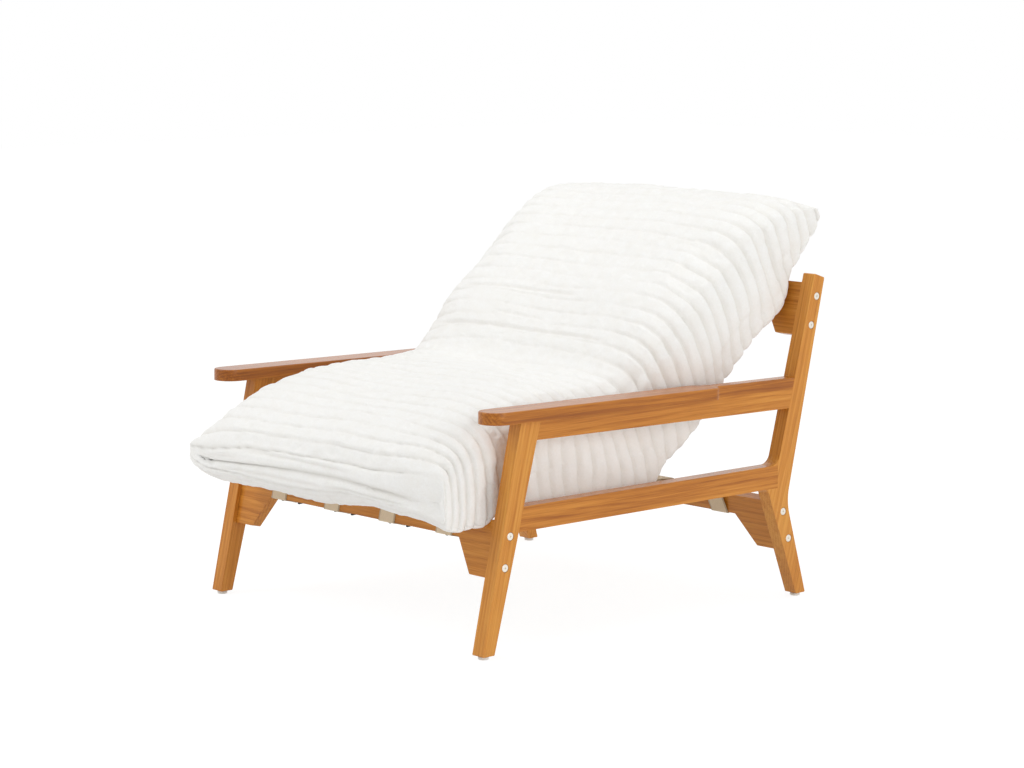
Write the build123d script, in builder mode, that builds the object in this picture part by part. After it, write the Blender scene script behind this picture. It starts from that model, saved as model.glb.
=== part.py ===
"""A low wooden lounge chair: two side frames, three arched cross rails,
four webbing belts under the seat and one long ribbed cushion.

X is the width, the sitter faces -Y, Z is up. The origin lies on the
floor, in the middle of the chair's footprint.
"""
from build123d import *
import math
import os

os.makedirs("parts", exist_ok=True)

# Side frames
frame_width = 840
timber = 30
foot_height = 7
foot_round = 2
front_rake = 12.6
front_leg_taper = 2.57
front_foot_y = -443
front_foot_width = 29.5
rear_foot_y = 421.2
rear_foot_width = 27
rear_leg_rake = 21.3
rear_leg_back_rake = 16.5
back_rake = 15
back_edge_rake = 13.1
post_width = 37
post_swell = 7.4
post_top_height = 660
post_end_round = 3
waist_round = 105
inner_corner_round = 25
under_corner_round = 14
housing_y = 362
housing_reach = 70

# Side rails and armrests
lower_rail_bottom = 234
lower_rail_height = 47
arm_fall = 0.72
arm_underside = 438.3
upper_rail_height = 38.5
arm_thickness = 23.5
arm_overhang_out = 20
arm_overhang_in = 15
arm_nose_y = -432
arm_wide_end_y = 158
arm_narrow_start_y = 190
arm_edge_round = 3

# Arched cross rails
cross_thickness = 22
cross_depth = 109
cross_middle_depth = 43
cross_foot_width = 54
cross_slope_width = 46
cross_corner_round = 4
front_cross_setback = 9
front_cross_top = 254.5
rear_cross_inset = 26.5
rear_cross_top = 203.5
top_cross_setback = 9
top_cross_drop = 15.5

# Cross rail bolts and their barrel nuts
bolt_spacing = 60
bolt_diameter = 6
bolt_head_diameter = 15
bolt_head_height = 2.4
bolt_head_round = 0.6
bolt_socket = 4
bolt_socket_depth = 1.6
bolt_sink = 0.4
bolt_length = 78
bolt_clearance = 0.3
counterbore_diameter = 16.6
nut_diameter = 10
nut_length = 16
nut_depth = 36
nut_clearance = 0.2

# Wooden dowels and armrest screws
dowel_diameter = 8
dowel_length = 48
dowel_pitch = 22
screw_diameter = 4.5
screw_head_diameter = 8.5
screw_head_height = 3
screw_length = 42
screw_recess_diameter = 10
screw_bite = 17
screw_count = 3
screw_pitch = 240

# Glides under the feet
glide_diameter = 20
glide_neck_diameter = 15
glide_neck_height = 2
glide_chamfer = 1
pin_diameter = 2.6
pin_length = 18
pin_recess = 2

# Webbing belts and their sliders
belt_width = 48
belt_thickness = 2
belt_gap = 0.3
belt_count = 4
belt_margin = 35
belt_shift = -7
front_seam_reach = 226
lower_run_length = 176
lower_run_rise = 12
rear_seam_reach = 34
tail_length = 166
slider_wall = 3.6
slider_side_gap = 0.6
slider_length = 40
slider_bar = 3
slider_bar_length = 8
slider_bar_gap = 0.4
slider_start = 6
slider_round = 1.5

# Cushion
cushion_side_gap = 5
cushion_ribs = 34
rib_depth = 6
cover_thickness = 14
fill_gap = 0.8
fill_panels = 12
soft_gap = 0.4
nose_reach = 18
seat_front_y = -534
seat_front_top = 352
seat_front_bottom = 279
crease_y = 16
crease_height = 488
seat_crown_height = 483
seat_bend_y = 38
over_front_length = 62
back_top_y = 470
back_top_height = 818
back_rear_y = 541
back_rear_height = 768
cushion_stand_off = 0.2
end_cap_share = 0.4
# Directions of the lower outline at its two ends
nose_direction = (0.3, -0.7)
back_direction = (0.2, 1)
# Points of the cushion's outline, each a share of the way along and up its stretch
seat_shares = ((0.12, 0.44), (0.34, 0.81), (0.6, 1), (0.9, 1))
back_front_shares = ((0.03, 0.03), (0.26, 0.34), (0.61, 0.765), (0.82, 0.955))
nose_under_shares = ((0.24, 0.05), (0.58, -0.14))
back_under_shares = ((0.09, 0.045), (0.19, 0.125), (0.32, 0.235), (0.6, 0.535), (0.88, 0.845))
back_over_rail_shares = ((0.3, 0.22), (0.64, 0.52), (0.9, 0.8))
# Slices of the cushion outwards from its middle, as shares of the half
# width, and the thickness of each as a share of the innermost slice
slice_shares = (0.3, 0.6, 0.82, 0.94, 1)
fullness_shares = (1, 0.99, 0.95, 0.86, 0.55)


def slope(angle):
    """Travel along Y for each unit of height on a line raked back by angle."""
    return math.tan(math.radians(angle))


def rise(angle):
    """Height that a line raked by angle gains for each unit of its length."""
    return math.cos(math.radians(angle))


half_width = frame_width / 2
inner_face = half_width - timber
cross_foot_half_span = inner_face - cross_foot_width
cross_cut_half_span = cross_foot_half_span - cross_slope_width
top_cross_top = post_top_height - top_cross_drop
belt_pitch = (cross_cut_half_span - belt_margin) * 2 / (belt_count - 1)
cushion_half_width = inner_face - arm_overhang_in - cushion_side_gap
sides = {"left": -1, "right": 1}


def front_edge_y(z):
    """Front edge of the front leg."""
    return front_foot_y + slope(front_rake) * (z - foot_height)


def front_leg_rear_y(z):
    """Rear edge of the front leg, which widens upwards."""
    return front_foot_y + front_foot_width + slope(front_rake + front_leg_taper) * (z - foot_height)


knee_y = rear_foot_y - slope(rear_leg_rake) * (lower_rail_bottom - foot_height)
lower_rail_top = lower_rail_bottom + lower_rail_height


def post_front_y(z):
    """Front edge of the raked post above the lower rail."""
    return housing_y + slope(back_rake) * (z - lower_rail_top)


def post_rear_y(z):
    """Rear edge of the post, which tapers towards its top."""
    widest = post_front_y(lower_rail_top) + post_width / rise(back_rake) + post_swell
    return widest + slope(back_edge_rake) * (z - lower_rail_top)


def leg_rear_y(z):
    """Rear edge of the splayed lower leg."""
    return rear_foot_y + rear_foot_width - slope(rear_leg_back_rake) * (z - foot_height)


waist_height = (leg_rear_y(0) - post_rear_y(0)) / (slope(back_edge_rake) + slope(rear_leg_back_rake))


def arm_under_z(y):
    """Underside of the armrest, which falls a little to the rear."""
    return arm_underside - slope(arm_fall) * y


def meet(edge_y, drop):
    """Point where a leg's or post's edge meets the line that lies drop below the armrest."""
    lean = edge_y(1) - edge_y(0)
    y = edge_y(arm_underside - drop) / (1 + lean * slope(arm_fall))
    return y, arm_under_z(y) - drop


def side_plane(sign):
    """Plane of a side frame's inner face, seen along +X."""
    return Plane.YZ.offset(sign * inner_face)


def cross_plane(foot_y, foot_z, rake, setback, top):
    """Front face of a cross rail: x along the rail, y up its slope, origin in the middle of its top."""
    lean = math.radians(rake)
    back = (0, math.cos(lean), -math.sin(lean))
    face_y = foot_y + setback / rise(rake) + math.tan(lean) * (top - foot_z)
    return Plane(origin=(0, face_y, top), x_dir=(1, 0, 0), z_dir=(0, -back[1], -back[2]))


cross_planes = {
    "front": cross_plane(front_foot_y, foot_height, front_rake, front_cross_setback, front_cross_top),
    "rear": cross_plane(rear_foot_y + rear_foot_width, foot_height, -rear_leg_back_rake,
                        -rear_cross_inset, rear_cross_top),
    "top": cross_plane(housing_y, lower_rail_top, back_rake, top_cross_setback, top_cross_top),
}
bolt_offsets = (-bolt_spacing / 2, bolt_spacing / 2)
bolt_places = [(-cross_depth / 2 + offset, -cross_thickness / 2) for offset in bolt_offsets]
bolt_points = {
    name: [plane.from_local_coords((0, along, depth)) for along, depth in bolt_places]
    for name, plane in cross_planes.items()
}


def bolt_plane(point, sign):
    """Plane at the outer face of a side frame, its z pointing out of the frame."""
    return Plane(origin=(sign * half_width, point.Y, point.Z), x_dir=(0, 1, 0), z_dir=(sign, 0, 0))


def drill_bolts(name, sign):
    """Counterbored bolt holes through a leg or post."""
    for point in bolt_points[name]:
        with Locations(bolt_plane(point, sign)):
            CounterBoreHole(bolt_diameter / 2 + bolt_clearance, counterbore_diameter / 2,
                            bolt_head_height + bolt_sink, depth=timber)


def rail_joint(y, z, sign):
    """Plane across a side rail's joint, in the middle of the timber, its z pointing rearwards."""
    return Plane(origin=(sign * (half_width - timber / 2), y, z), x_dir=(1, 0, 0), z_dir=(0, 1, 0))


lower_middle = lower_rail_bottom + lower_rail_height / 2
joint_places = {
    "lower_front": (front_leg_rear_y(lower_middle), lower_middle),
    "lower_rear": (housing_y, lower_middle),
    "upper_front": meet(front_leg_rear_y, upper_rail_height / 2),
    "upper_rear": meet(post_front_y, upper_rail_height / 2),
}


def cross_dowel_plane(name, sign):
    """Middle of a cross rail's end joint, its z across the joint."""
    place = cross_planes[name].from_local_coords((sign * inner_face, -cross_depth / 2, -cross_thickness / 2))
    return Plane(origin=place, x_dir=(0, 1, 0), z_dir=(sign, 0, 0))


def drill_cross_dowel(name, sign):
    """Blind hole for the dowel of a cross rail's end joint."""
    with Locations(cross_dowel_plane(name, sign)):
        Cylinder(dowel_diameter / 2, dowel_length, mode=Mode.SUBTRACT)


def drill_dowels(name, sign):
    """Blind holes for the two dowels of a side rail joint, cut to both sides of it."""
    y, z = joint_places[name]
    for offset in (-dowel_pitch / 2, dowel_pitch / 2):
        with Locations(rail_joint(y, z + offset, sign)):
            Cylinder(dowel_diameter / 2, dowel_length, mode=Mode.SUBTRACT)


def front_leg(sign):
    """Tapered front leg, raked back, from the glide to the armrest."""
    with BuildPart() as leg:
        with BuildSketch(side_plane(sign)):
            with BuildLine():
                FilletPolyline(
                    (front_edge_y(foot_height), foot_height),
                    (front_leg_rear_y(foot_height), foot_height),
                    meet(front_leg_rear_y, 0),
                    meet(front_edge_y, 0),
                    radius=[foot_round, foot_round, 0, 0], close=True)
            make_face()
        extrude(amount=sign * timber)
        drill_bolts("front", sign)
        drill_cross_dowel("front", sign)
        drill_dowels("lower_front", sign)
        drill_dowels("upper_front", sign)
        glide_hole(front_foot_y + front_foot_width / 2, sign)
    return leg


def glide_hole(y, sign):
    """Pilot hole for a glide's pin, up into a foot."""
    with Locations((sign * (half_width - timber / 2), y, foot_height + pin_length / 2)):
        Cylinder(pin_diameter / 2, pin_length, mode=Mode.SUBTRACT)


def rear_post(sign):
    """One-piece rear leg and post, bent at the waist, with a housing for the lower rail."""
    with BuildPart() as post:
        with BuildSketch(side_plane(sign)):
            with BuildLine():
                top_front = post_front_y(post_top_height + post_width * slope(back_rake) / 2)
                top_rear = post_rear_y(post_top_height - post_width * slope(back_rake) / 2)
                FilletPolyline(
                    (rear_foot_y, foot_height),
                    (knee_y, lower_rail_bottom),
                    (housing_y - housing_reach, lower_rail_bottom),
                    (housing_y - housing_reach, lower_rail_top),
                    (housing_y, lower_rail_top),
                    (top_front, post_top_height + post_width * slope(back_rake) / 2),
                    (top_rear, post_top_height - post_width * slope(back_rake) / 2),
                    (leg_rear_y(waist_height), waist_height),
                    (rear_foot_y + rear_foot_width, foot_height),
                    radius=[foot_round, under_corner_round, foot_round, foot_round, inner_corner_round,
                            post_end_round, post_end_round, waist_round, foot_round], close=True)
            make_face()
            with Locations((housing_y - housing_reach, lower_rail_bottom)):
                Rectangle(housing_reach, lower_rail_height, align=Align.MIN, mode=Mode.SUBTRACT)
        extrude(amount=sign * timber)
        for name in ("rear", "top"):
            drill_bolts(name, sign)
            drill_cross_dowel(name, sign)
        drill_dowels("lower_rear", sign)
        drill_dowels("upper_rear", sign)
        glide_hole(rear_foot_y + rear_foot_width / 2, sign)
    return post


def lower_rail(sign):
    """Level side rail between the front leg and the rear post."""
    with BuildPart() as rail:
        with BuildSketch(side_plane(sign)):
            with BuildLine():
                Polyline(
                    (front_leg_rear_y(lower_rail_bottom), lower_rail_bottom),
                    (housing_y, lower_rail_bottom),
                    (housing_y, lower_rail_top),
                    (front_leg_rear_y(lower_rail_top), lower_rail_top), close=True)
            make_face()
        extrude(amount=sign * timber)
        drill_dowels("lower_front", sign)
        drill_dowels("lower_rear", sign)
    return rail


def screw_planes(sign):
    """Seats of the screws that rise through the upper rail into the armrest."""
    planes = []
    for index in range(screw_count):
        y = (index - (screw_count - 1) / 2) * screw_pitch
        head_z = arm_under_z(y) + screw_bite - screw_length
        planes.append(Plane(origin=(sign * (half_width - timber / 2), y, head_z)))
    return planes


def upper_rail(sign):
    """Rail below the armrest, falling a little to the rear with it."""
    with BuildPart() as rail:
        with BuildSketch(side_plane(sign)):
            with BuildLine():
                Polyline(meet(front_leg_rear_y, upper_rail_height), meet(post_front_y, upper_rail_height),
                         meet(post_front_y, 0), meet(front_leg_rear_y, 0), close=True)
            make_face()
        extrude(amount=sign * timber)
        drill_dowels("upper_front", sign)
        drill_dowels("upper_rear", sign)
        for plane in screw_planes(sign):
            with Locations(plane):
                Cylinder(screw_diameter / 2, screw_length, mode=Mode.SUBTRACT,
                         align=(Align.CENTER, Align.CENTER, Align.MIN))
                Cylinder(screw_recess_diameter / 2, upper_rail_height, mode=Mode.SUBTRACT,
                         align=(Align.CENTER, Align.CENTER, Align.MAX))
                Cylinder(screw_recess_diameter / 2, screw_head_height, mode=Mode.SUBTRACT,
                         align=(Align.CENTER, Align.CENTER, Align.MIN))
    return rail


def armrest(sign):
    """Armrest board: a wide front part with a round nose, then a narrow part flush with the post."""
    fall = math.radians(arm_fall)
    board_plane = Plane(origin=(0, 0, arm_underside), x_dir=(1, 0, 0),
                        z_dir=(0, math.sin(fall), math.cos(fall)))
    outer = half_width + arm_overhang_out
    inner = inner_face - arm_overhang_in
    nose = (outer - inner) / 2
    middle_y = (arm_wide_end_y + arm_narrow_start_y) / 2
    with BuildPart() as board:
        with BuildSketch(board_plane):
            with BuildLine():
                nose_arc = ThreePointArc((sign * inner, arm_nose_y + nose), (sign * (inner + nose), arm_nose_y),
                                         (sign * outer, arm_nose_y + nose))
                outer_side = Line(nose_arc @ 1, (sign * outer, arm_wide_end_y))
                outer_step = Spline(outer_side @ 1, (sign * half_width, arm_narrow_start_y),
                                    tangents=((0, 1), (0, 1)))
                narrow_side = Line(outer_step @ 1, (sign * half_width, housing_y + housing_reach))
                narrow_end = Line(narrow_side @ 1, (sign * inner_face, housing_y + housing_reach))
                inner_narrow = Line(narrow_end @ 1, (sign * inner_face, arm_narrow_start_y))
                inner_step = Spline(inner_narrow @ 1, (sign * inner, middle_y - timber),
                                    tangents=((0, -1), (0, -1)))
                Line(inner_step @ 1, nose_arc @ 0)
            make_face()
        extrude(amount=arm_thickness)
        fillet(board.faces().sort_by(Axis.Z)[-1].edges(), arm_edge_round)
        with BuildSketch(side_plane(sign).offset(-arm_overhang_in * sign)) as post_shape:
            with BuildLine():
                low_z = arm_underside - housing_reach
                high_z = arm_underside + housing_reach
                Polyline((post_front_y(low_z), low_z), (post_front_y(low_z) + housing_reach * 2, low_z),
                         (post_front_y(high_z) + housing_reach * 2, high_z), (post_front_y(high_z), high_z),
                         close=True)
            make_face()
        extrude(amount=sign * (timber + arm_overhang_in + arm_overhang_out), mode=Mode.SUBTRACT)
        for plane in screw_planes(sign):
            with Locations(plane):
                Cylinder(screw_diameter / 2, screw_length, mode=Mode.SUBTRACT,
                         align=(Align.CENTER, Align.CENTER, Align.MIN))
    return board


def cross_rail(name):
    """Arched cross rail: deep ends that take the bolts, and a shallow middle."""
    plane = cross_planes[name]
    with BuildPart() as rail:
        with BuildSketch(plane):
            with BuildLine():
                FilletPolyline(
                    (-inner_face, 0), (-inner_face, -cross_depth),
                    (-cross_foot_half_span, -cross_depth), (-cross_cut_half_span, -cross_middle_depth),
                    (cross_cut_half_span, -cross_middle_depth), (cross_foot_half_span, -cross_depth),
                    (inner_face, -cross_depth), (inner_face, 0),
                    radius=[0, 0, cross_corner_round, cross_corner_round,
                            cross_corner_round, cross_corner_round, 0, 0], close=True)
            make_face()
        extrude(amount=-cross_thickness)
        for sign in sides.values():
            for along, depth in bolt_places:
                bore_depth = bolt_length + bolt_sink + bolt_clearance - timber
                bore = Plane(origin=plane.from_local_coords((sign * inner_face, along, depth)),
                             x_dir=(0, 1, 0), z_dir=(-sign, 0, 0))
                with Locations(bore):
                    Cylinder(bolt_diameter / 2 + bolt_clearance, bore_depth * 2, mode=Mode.SUBTRACT)
                with Locations(nut_plane(name, sign, along)):
                    Cylinder(nut_diameter / 2 + nut_clearance, cross_thickness, mode=Mode.SUBTRACT,
                             align=(Align.CENTER, Align.CENTER, Align.MAX))
            drill_cross_dowel(name, sign)
    return rail


def nut_plane(name, sign, along):
    """Place of a barrel nut, on the closed face that its hole ends on, its z into the rail."""
    plane = cross_planes[name]
    closed = (cross_thickness - nut_length) / 2
    place = plane.from_local_coords((sign * (inner_face - nut_depth), along, -closed))
    return Plane(origin=place, x_dir=(1, 0, 0), z_dir=plane.z_dir)


def cross_dowels(name):
    """One dowel at each end of a cross rail, between its bolts."""
    with BuildPart() as group:
        for sign in sides.values():
            with Locations(cross_dowel_plane(name, sign)):
                Cylinder(dowel_diameter / 2, dowel_length)
    return group


def bolts(name):
    """Flat-head bolts with hex sockets, two through each leg or post."""
    with BuildPart() as group:
        for sign in sides.values():
            for point in bolt_points[name]:
                head = bolt_plane(point, sign).offset(-bolt_sink)
                with BuildSketch(head):
                    Circle(bolt_head_diameter / 2)
                extrude(amount=-bolt_head_height)
                with BuildSketch(head.offset(-bolt_head_height)):
                    Circle(bolt_diameter / 2)
                extrude(amount=-(bolt_length - bolt_head_height))
                with BuildSketch(head):
                    RegularPolygon(bolt_socket / 2, 6, major_radius=False)
                extrude(amount=-bolt_socket_depth, mode=Mode.SUBTRACT)
        rims = group.edges().filter_by(GeomType.CIRCLE).filter_by(
            lambda edge: math.isclose(edge.radius, bolt_head_diameter / 2, rel_tol=1e-6))
        fillet([rim for rim in rims if abs(abs(rim.center().X) - half_width + bolt_sink) < bolt_sink / 2],
               bolt_head_round)
    return group


def barrel_nuts(name):
    """Cross dowel nuts that the bolts screw into, set from the rail's rear face."""
    with BuildPart() as group:
        for sign in sides.values():
            for along, depth in bolt_places:
                with Locations(nut_plane(name, sign, along)):
                    Cylinder(nut_diameter / 2, nut_length, align=(Align.CENTER, Align.CENTER, Align.MAX))
                with Locations(bolt_plane(cross_planes[name].from_local_coords((0, along, depth)), sign)):
                    Cylinder(bolt_diameter / 2, frame_width / 2, mode=Mode.SUBTRACT)
    return group


def side_dowels(sign):
    """Eight dowels that join the two side rails to the leg and the post."""
    with BuildPart() as group:
        for y, z in joint_places.values():
            for offset in (-dowel_pitch / 2, dowel_pitch / 2):
                with Locations(rail_joint(y, z + offset, sign)):
                    Cylinder(dowel_diameter / 2, dowel_length)
    return group


def armrest_screws(sign):
    """Countersunk screws that hold the armrest to its rail."""
    with BuildPart() as group:
        for plane in screw_planes(sign):
            with Locations(plane):
                Cylinder(screw_diameter / 2, screw_length, align=(Align.CENTER, Align.CENTER, Align.MIN))
                Cone(screw_head_diameter / 2, screw_diameter / 2, screw_head_height,
                     align=(Align.CENTER, Align.CENTER, Align.MIN))
    return group


def glide(y, sign):
    """Plastic foot glide: a round pad under a narrower neck."""
    with BuildPart() as pad:
        with BuildSketch(Plane.XY):
            with Locations((sign * (half_width - timber / 2), y)):
                Circle(glide_diameter / 2)
        extrude(amount=foot_height - glide_neck_height)
        chamfer(pad.faces().sort_by(Axis.Z)[0].edges(), glide_chamfer)
        with BuildSketch(Plane.XY.offset(foot_height - glide_neck_height)):
            with Locations((sign * (half_width - timber / 2), y)):
                Circle(glide_neck_diameter / 2)
        extrude(amount=glide_neck_height)
        with Locations((sign * (half_width - timber / 2), y, pin_recess)):
            Cylinder(pin_diameter / 2, foot_height, mode=Mode.SUBTRACT,
                     align=(Align.CENTER, Align.CENTER, Align.MIN))
    return pad


def glide_pins(sign):
    """Nails that hold one side's two glides."""
    with BuildPart() as group:
        for y in (front_foot_y + front_foot_width / 2, rear_foot_y + rear_foot_width / 2):
            with Locations((sign * (half_width - timber / 2), y, pin_recess)):
                Cylinder(pin_diameter / 2, foot_height - pin_recess + pin_length,
                         align=(Align.CENTER, Align.CENTER, Align.MIN))
    return group


def rail_corners(name):
    """Corners of a cross rail's arched middle: front and rear of its top, front and rear of its underside."""
    plane = cross_planes[name]
    corners = []
    for along in (0, -cross_middle_depth):
        for depth in (0, -cross_thickness):
            point = plane.from_local_coords((0, along, depth))
            corners.append((point.Y, point.Z))
    return corners


def top_run_z(y):
    """Height of the line that the belts' top runs lie on, from the front rail to the rear one."""
    start_y, start_z = rail_corners("front")[1]
    end_y, end_z = rail_corners("rear")[1]
    return start_z + (end_z - start_z) * (y - start_y) / (end_y - start_y)


def belt_loops():
    """Corners of a belt's two sewn loops: round the front rail and its lower run, and round the rear rail."""
    front_high, front_back_high, front_low, front_back_low = rail_corners("front")
    _, rear_back_high, rear_low, rear_back_low = rail_corners("rear")
    front_seam_y = front_back_high[0] + front_seam_reach
    rear_seam_y = rear_back_high[0] - rear_seam_reach
    run_end = (front_back_low[0] + lower_run_length, front_back_low[1] + lower_run_rise)
    front_loop = (front_high, front_back_high, (front_seam_y, top_run_z(front_seam_y)), run_end,
                  front_back_low, front_low)
    rear_loop = ((rear_seam_y, top_run_z(rear_seam_y)), rear_back_high, rear_back_low, rear_low)
    return front_loop, rear_loop


def run_plane(x):
    """Plane along the lower run of a belt: x rearwards, y upwards, z along +X."""
    front_loop, _ = belt_loops()
    end, start = front_loop[3], front_loop[4]
    return Plane(origin=(x, start[0], start[1]), x_dir=(0, end[0] - start[0], end[1] - start[1]),
                 z_dir=(1, 0, 0))


def top_run_plane(x):
    """Plane along the top run of a belt, from the seam of one loop to that of the other, turned alike."""
    front_loop, rear_loop = belt_loops()
    start, end = front_loop[2], rear_loop[0]
    return Plane(origin=(x, start[0], start[1]), x_dir=(0, end[0] - start[0], end[1] - start[1]),
                 z_dir=(1, 0, 0))


belt_places = [belt_shift + (index - (belt_count - 1) / 2) * belt_pitch for index in range(belt_count)]


def belt(x):
    """Webbing belt: a loop round each rail, the top run between them, and the tail under the lower run."""
    front_loop, rear_loop = belt_loops()
    with BuildPart() as strap:
        for loop in (front_loop, rear_loop):
            with BuildSketch(Plane.YZ.offset(x - belt_width / 2)):
                with BuildLine():
                    Polyline(*loop, close=True)
                make_face()
                offset(amount=belt_gap + belt_thickness, kind=Kind.ARC)
                with BuildSketch(mode=Mode.PRIVATE) as inside:
                    with BuildLine():
                        Polyline(*loop, close=True)
                    make_face()
                    offset(amount=belt_gap, kind=Kind.ARC)
                add(inside.sketch, mode=Mode.SUBTRACT)
            extrude(amount=belt_width)
        with BuildSketch(top_run_plane(x - belt_width / 2)):
            with Locations((0, belt_gap)):
                Rectangle(math.dist(front_loop[2], rear_loop[0]), belt_thickness, align=Align.MIN)
        extrude(amount=belt_width)
        with BuildSketch(run_plane(x - belt_width / 2)):
            with Locations((slider_start / 2, -belt_gap - belt_thickness)):
                Rectangle(tail_length, belt_thickness, align=(Align.MIN, Align.MAX))
        extrude(amount=belt_width)
    return strap


def belt_slider(x):
    """Three-bar slider that joins the belt to its tail, just behind the front rail."""
    half_opening = belt_width / 2 + slider_side_gap
    above = -belt_gap + slider_bar_gap
    below = -belt_gap - belt_thickness * 2 - slider_bar_gap
    with BuildPart() as buckle:
        with BuildSketch(run_plane(x - half_opening - slider_wall)):
            with Locations((slider_start, above + slider_bar)):
                Rectangle(slider_length, above - below + slider_bar * 2, align=(Align.MIN, Align.MAX))
        extrude(amount=(half_opening + slider_wall) * 2)
        fillet(buckle.edges().filter_by(Axis.X), slider_round)
        with BuildSketch(run_plane(x - half_opening)):
            with Locations((0, above)):
                Rectangle(slider_length * 2, above - below, align=(Align.MIN, Align.MAX))
            with Locations((slider_start + slider_bar_length, above)):
                Rectangle(slider_length - slider_bar_length * 2, slider_bar * 2,
                          align=(Align.MIN, Align.MIN))
            middle = slider_start + slider_length / 2
            for low, high in ((0, middle - slider_bar_length / 2), (middle + slider_bar_length / 2,
                                                                   slider_length * 2)):
                with Locations((low, below)):
                    Rectangle(high - low, slider_bar * 2, align=(Align.MIN, Align.MAX))
        extrude(amount=half_opening * 2, mode=Mode.SUBTRACT)
    return buckle


def belt_top_z(y):
    """Upper face of the belts where the seat rests on them."""
    return top_run_z(y) + belt_gap + belt_thickness


def cushion_lines():
    """Upper and lower outlines of the cushion's middle slice, from its nose to its top edge."""
    seat_length = crease_y - seat_front_y
    seat_rise = seat_crown_height - seat_front_top
    lean_y = back_top_y - crease_y
    lean_z = back_top_height - crease_height
    upper = Spline(
        (seat_front_y, seat_front_top),
        *[(seat_front_y + seat_length * along, seat_front_top + seat_rise * up) for along, up in seat_shares],
        *[(crease_y + lean_y * along, crease_height + lean_z * up) for along, up in back_front_shares],
        (back_top_y, back_top_height))
    rest = soft_gap + cushion_stand_off
    rail_y, rail_z = rail_corners("front")[0]
    over_front = (rail_y, rail_z + belt_gap + belt_thickness + rest)
    seat_start = (rail_y + over_front_length, belt_top_z(rail_y + over_front_length) + rest)
    seat_end = (seat_bend_y, belt_top_z(seat_bend_y) + rest)
    run = (seat_end[0] - seat_start[0], seat_end[1] - seat_start[1])
    reach_y = over_front[0] - seat_front_y
    nose = Spline(
        (seat_front_y, seat_front_bottom),
        *[(seat_front_y + reach_y * along, over_front[1] + (seat_front_bottom - over_front[1]) * up)
          for along, up in nose_under_shares],
        over_front, seat_start, tangents=(nose_direction, run))
    rail_top = cross_planes["top"].from_local_coords((0, 0, rest))
    rail_foot = cross_planes["top"].from_local_coords((0, -cross_middle_depth, rest))
    back_y = rail_foot.Y - seat_bend_y
    back_z = rail_foot.Z - seat_end[1]
    back = Spline(
        seat_end,
        *[(seat_bend_y + back_y * along, seat_end[1] + back_z * up) for along, up in back_under_shares],
        (rail_foot.Y, rail_foot.Z), (rail_top.Y, rail_top.Z),
        *[(rail_top.Y + (back_rear_y - rail_top.Y) * along,
           rail_top.Z + (back_rear_height - rail_top.Z) * up) for along, up in back_over_rail_shares],
        (back_rear_y, back_rear_height), tangents=(run, back_direction))
    return Wire([upper]), Wire([nose, Line(seat_start, seat_end), back])


upper_line, lower_line = cushion_lines()


def cushion_points(share, fullness, inset):
    """Upper and lower point of one slice across the cushion, drawn in to the slice's middle."""
    high = upper_line.position_at(share * upper_line.length, position_mode=PositionMode.LENGTH)
    low = lower_line.position_at(share * lower_line.length, position_mode=PositionMode.LENGTH)
    middle = (high + low) / 2
    reach = (high - low).length / 2 * fullness - inset
    towards = (high - low).normalized()
    return middle + towards * reach, middle - towards * reach


def cushion_outline(fullness, panels, inset, gap, crease):
    """Closed outline of a slice: arcs over the top, round the top edge, back below and round the nose."""
    inset_share = inset / cushion_half_width
    last = 1 - inset_share
    high, low = [], []
    for step in range(panels * 2 + 1):
        share = inset_share + (last - inset_share) * step / (panels * 2)
        depth = inset + gap + (crease if step % 2 == 0 else 0)
        upper_point, lower_point = cushion_points(share, fullness, depth)
        high.append(upper_point)
        low.append(lower_point)
    for side in (high, low[::-1]):
        if side is not high:
            end_cap(high[-1], low[-1], high[-2] + low[-2], fullness, gap)
        for step in range(0, panels * 2, 2):
            ThreePointArc(side[step], side[step + 1], side[step + 2])
    end_cap(low[0], high[0], high[1] + low[1], fullness, gap)


def end_cap(start, end, inward_pair, fullness, gap):
    """Arc that closes an outline, bulging away from the slice beside it."""
    middle = (start + end) / 2
    outward = (middle - inward_pair / 2).normalized()
    reach = min(nose_reach * fullness, (end - start).length * end_cap_share) - gap
    ThreePointArc(start, middle + outward * reach, end)


def cushion_solid(panels, inset=0, gap=0, crease=0):
    """Loft through the cushion's slices from one side to the other, a gap further in than the inset."""
    slices = list(zip(slice_shares, fullness_shares))
    places = [(-share, full) for share, full in slices[::-1]] + slices
    with BuildPart() as soft:
        for share, full in places:
            with BuildSketch(Plane.YZ.offset(share * (cushion_half_width - inset - gap))):
                with BuildLine():
                    cushion_outline(full, panels, inset, gap, crease)
                make_face()
        loft()
    return soft


pieces = {}
for side, sign in sides.items():
    pieces["front_leg_" + side] = front_leg(sign)
    pieces["rear_post_" + side] = rear_post(sign)
    pieces["lower_rail_" + side] = lower_rail(sign)
    pieces["upper_rail_" + side] = upper_rail(sign)
    pieces["armrest_" + side] = armrest(sign)
    pieces["rail_dowels_" + side] = side_dowels(sign)
    pieces["armrest_screws_" + side] = armrest_screws(sign)
    pieces["front_glide_" + side] = glide(front_foot_y + front_foot_width / 2, sign)
    pieces["rear_glide_" + side] = glide(rear_foot_y + rear_foot_width / 2, sign)
    pieces["glide_pins_" + side] = glide_pins(sign)

for name in cross_planes:
    pieces[name + "_cross_rail"] = cross_rail(name)
    pieces[name + "_bolts"] = bolts(name)
    pieces[name + "_barrel_nuts"] = barrel_nuts(name)
    pieces[name + "_rail_dowels"] = cross_dowels(name)

for index, x in enumerate(belt_places, start=1):
    pieces[f"seat_belt_{index}"] = belt(x)
    pieces[f"belt_slider_{index}"] = belt_slider(x)

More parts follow.
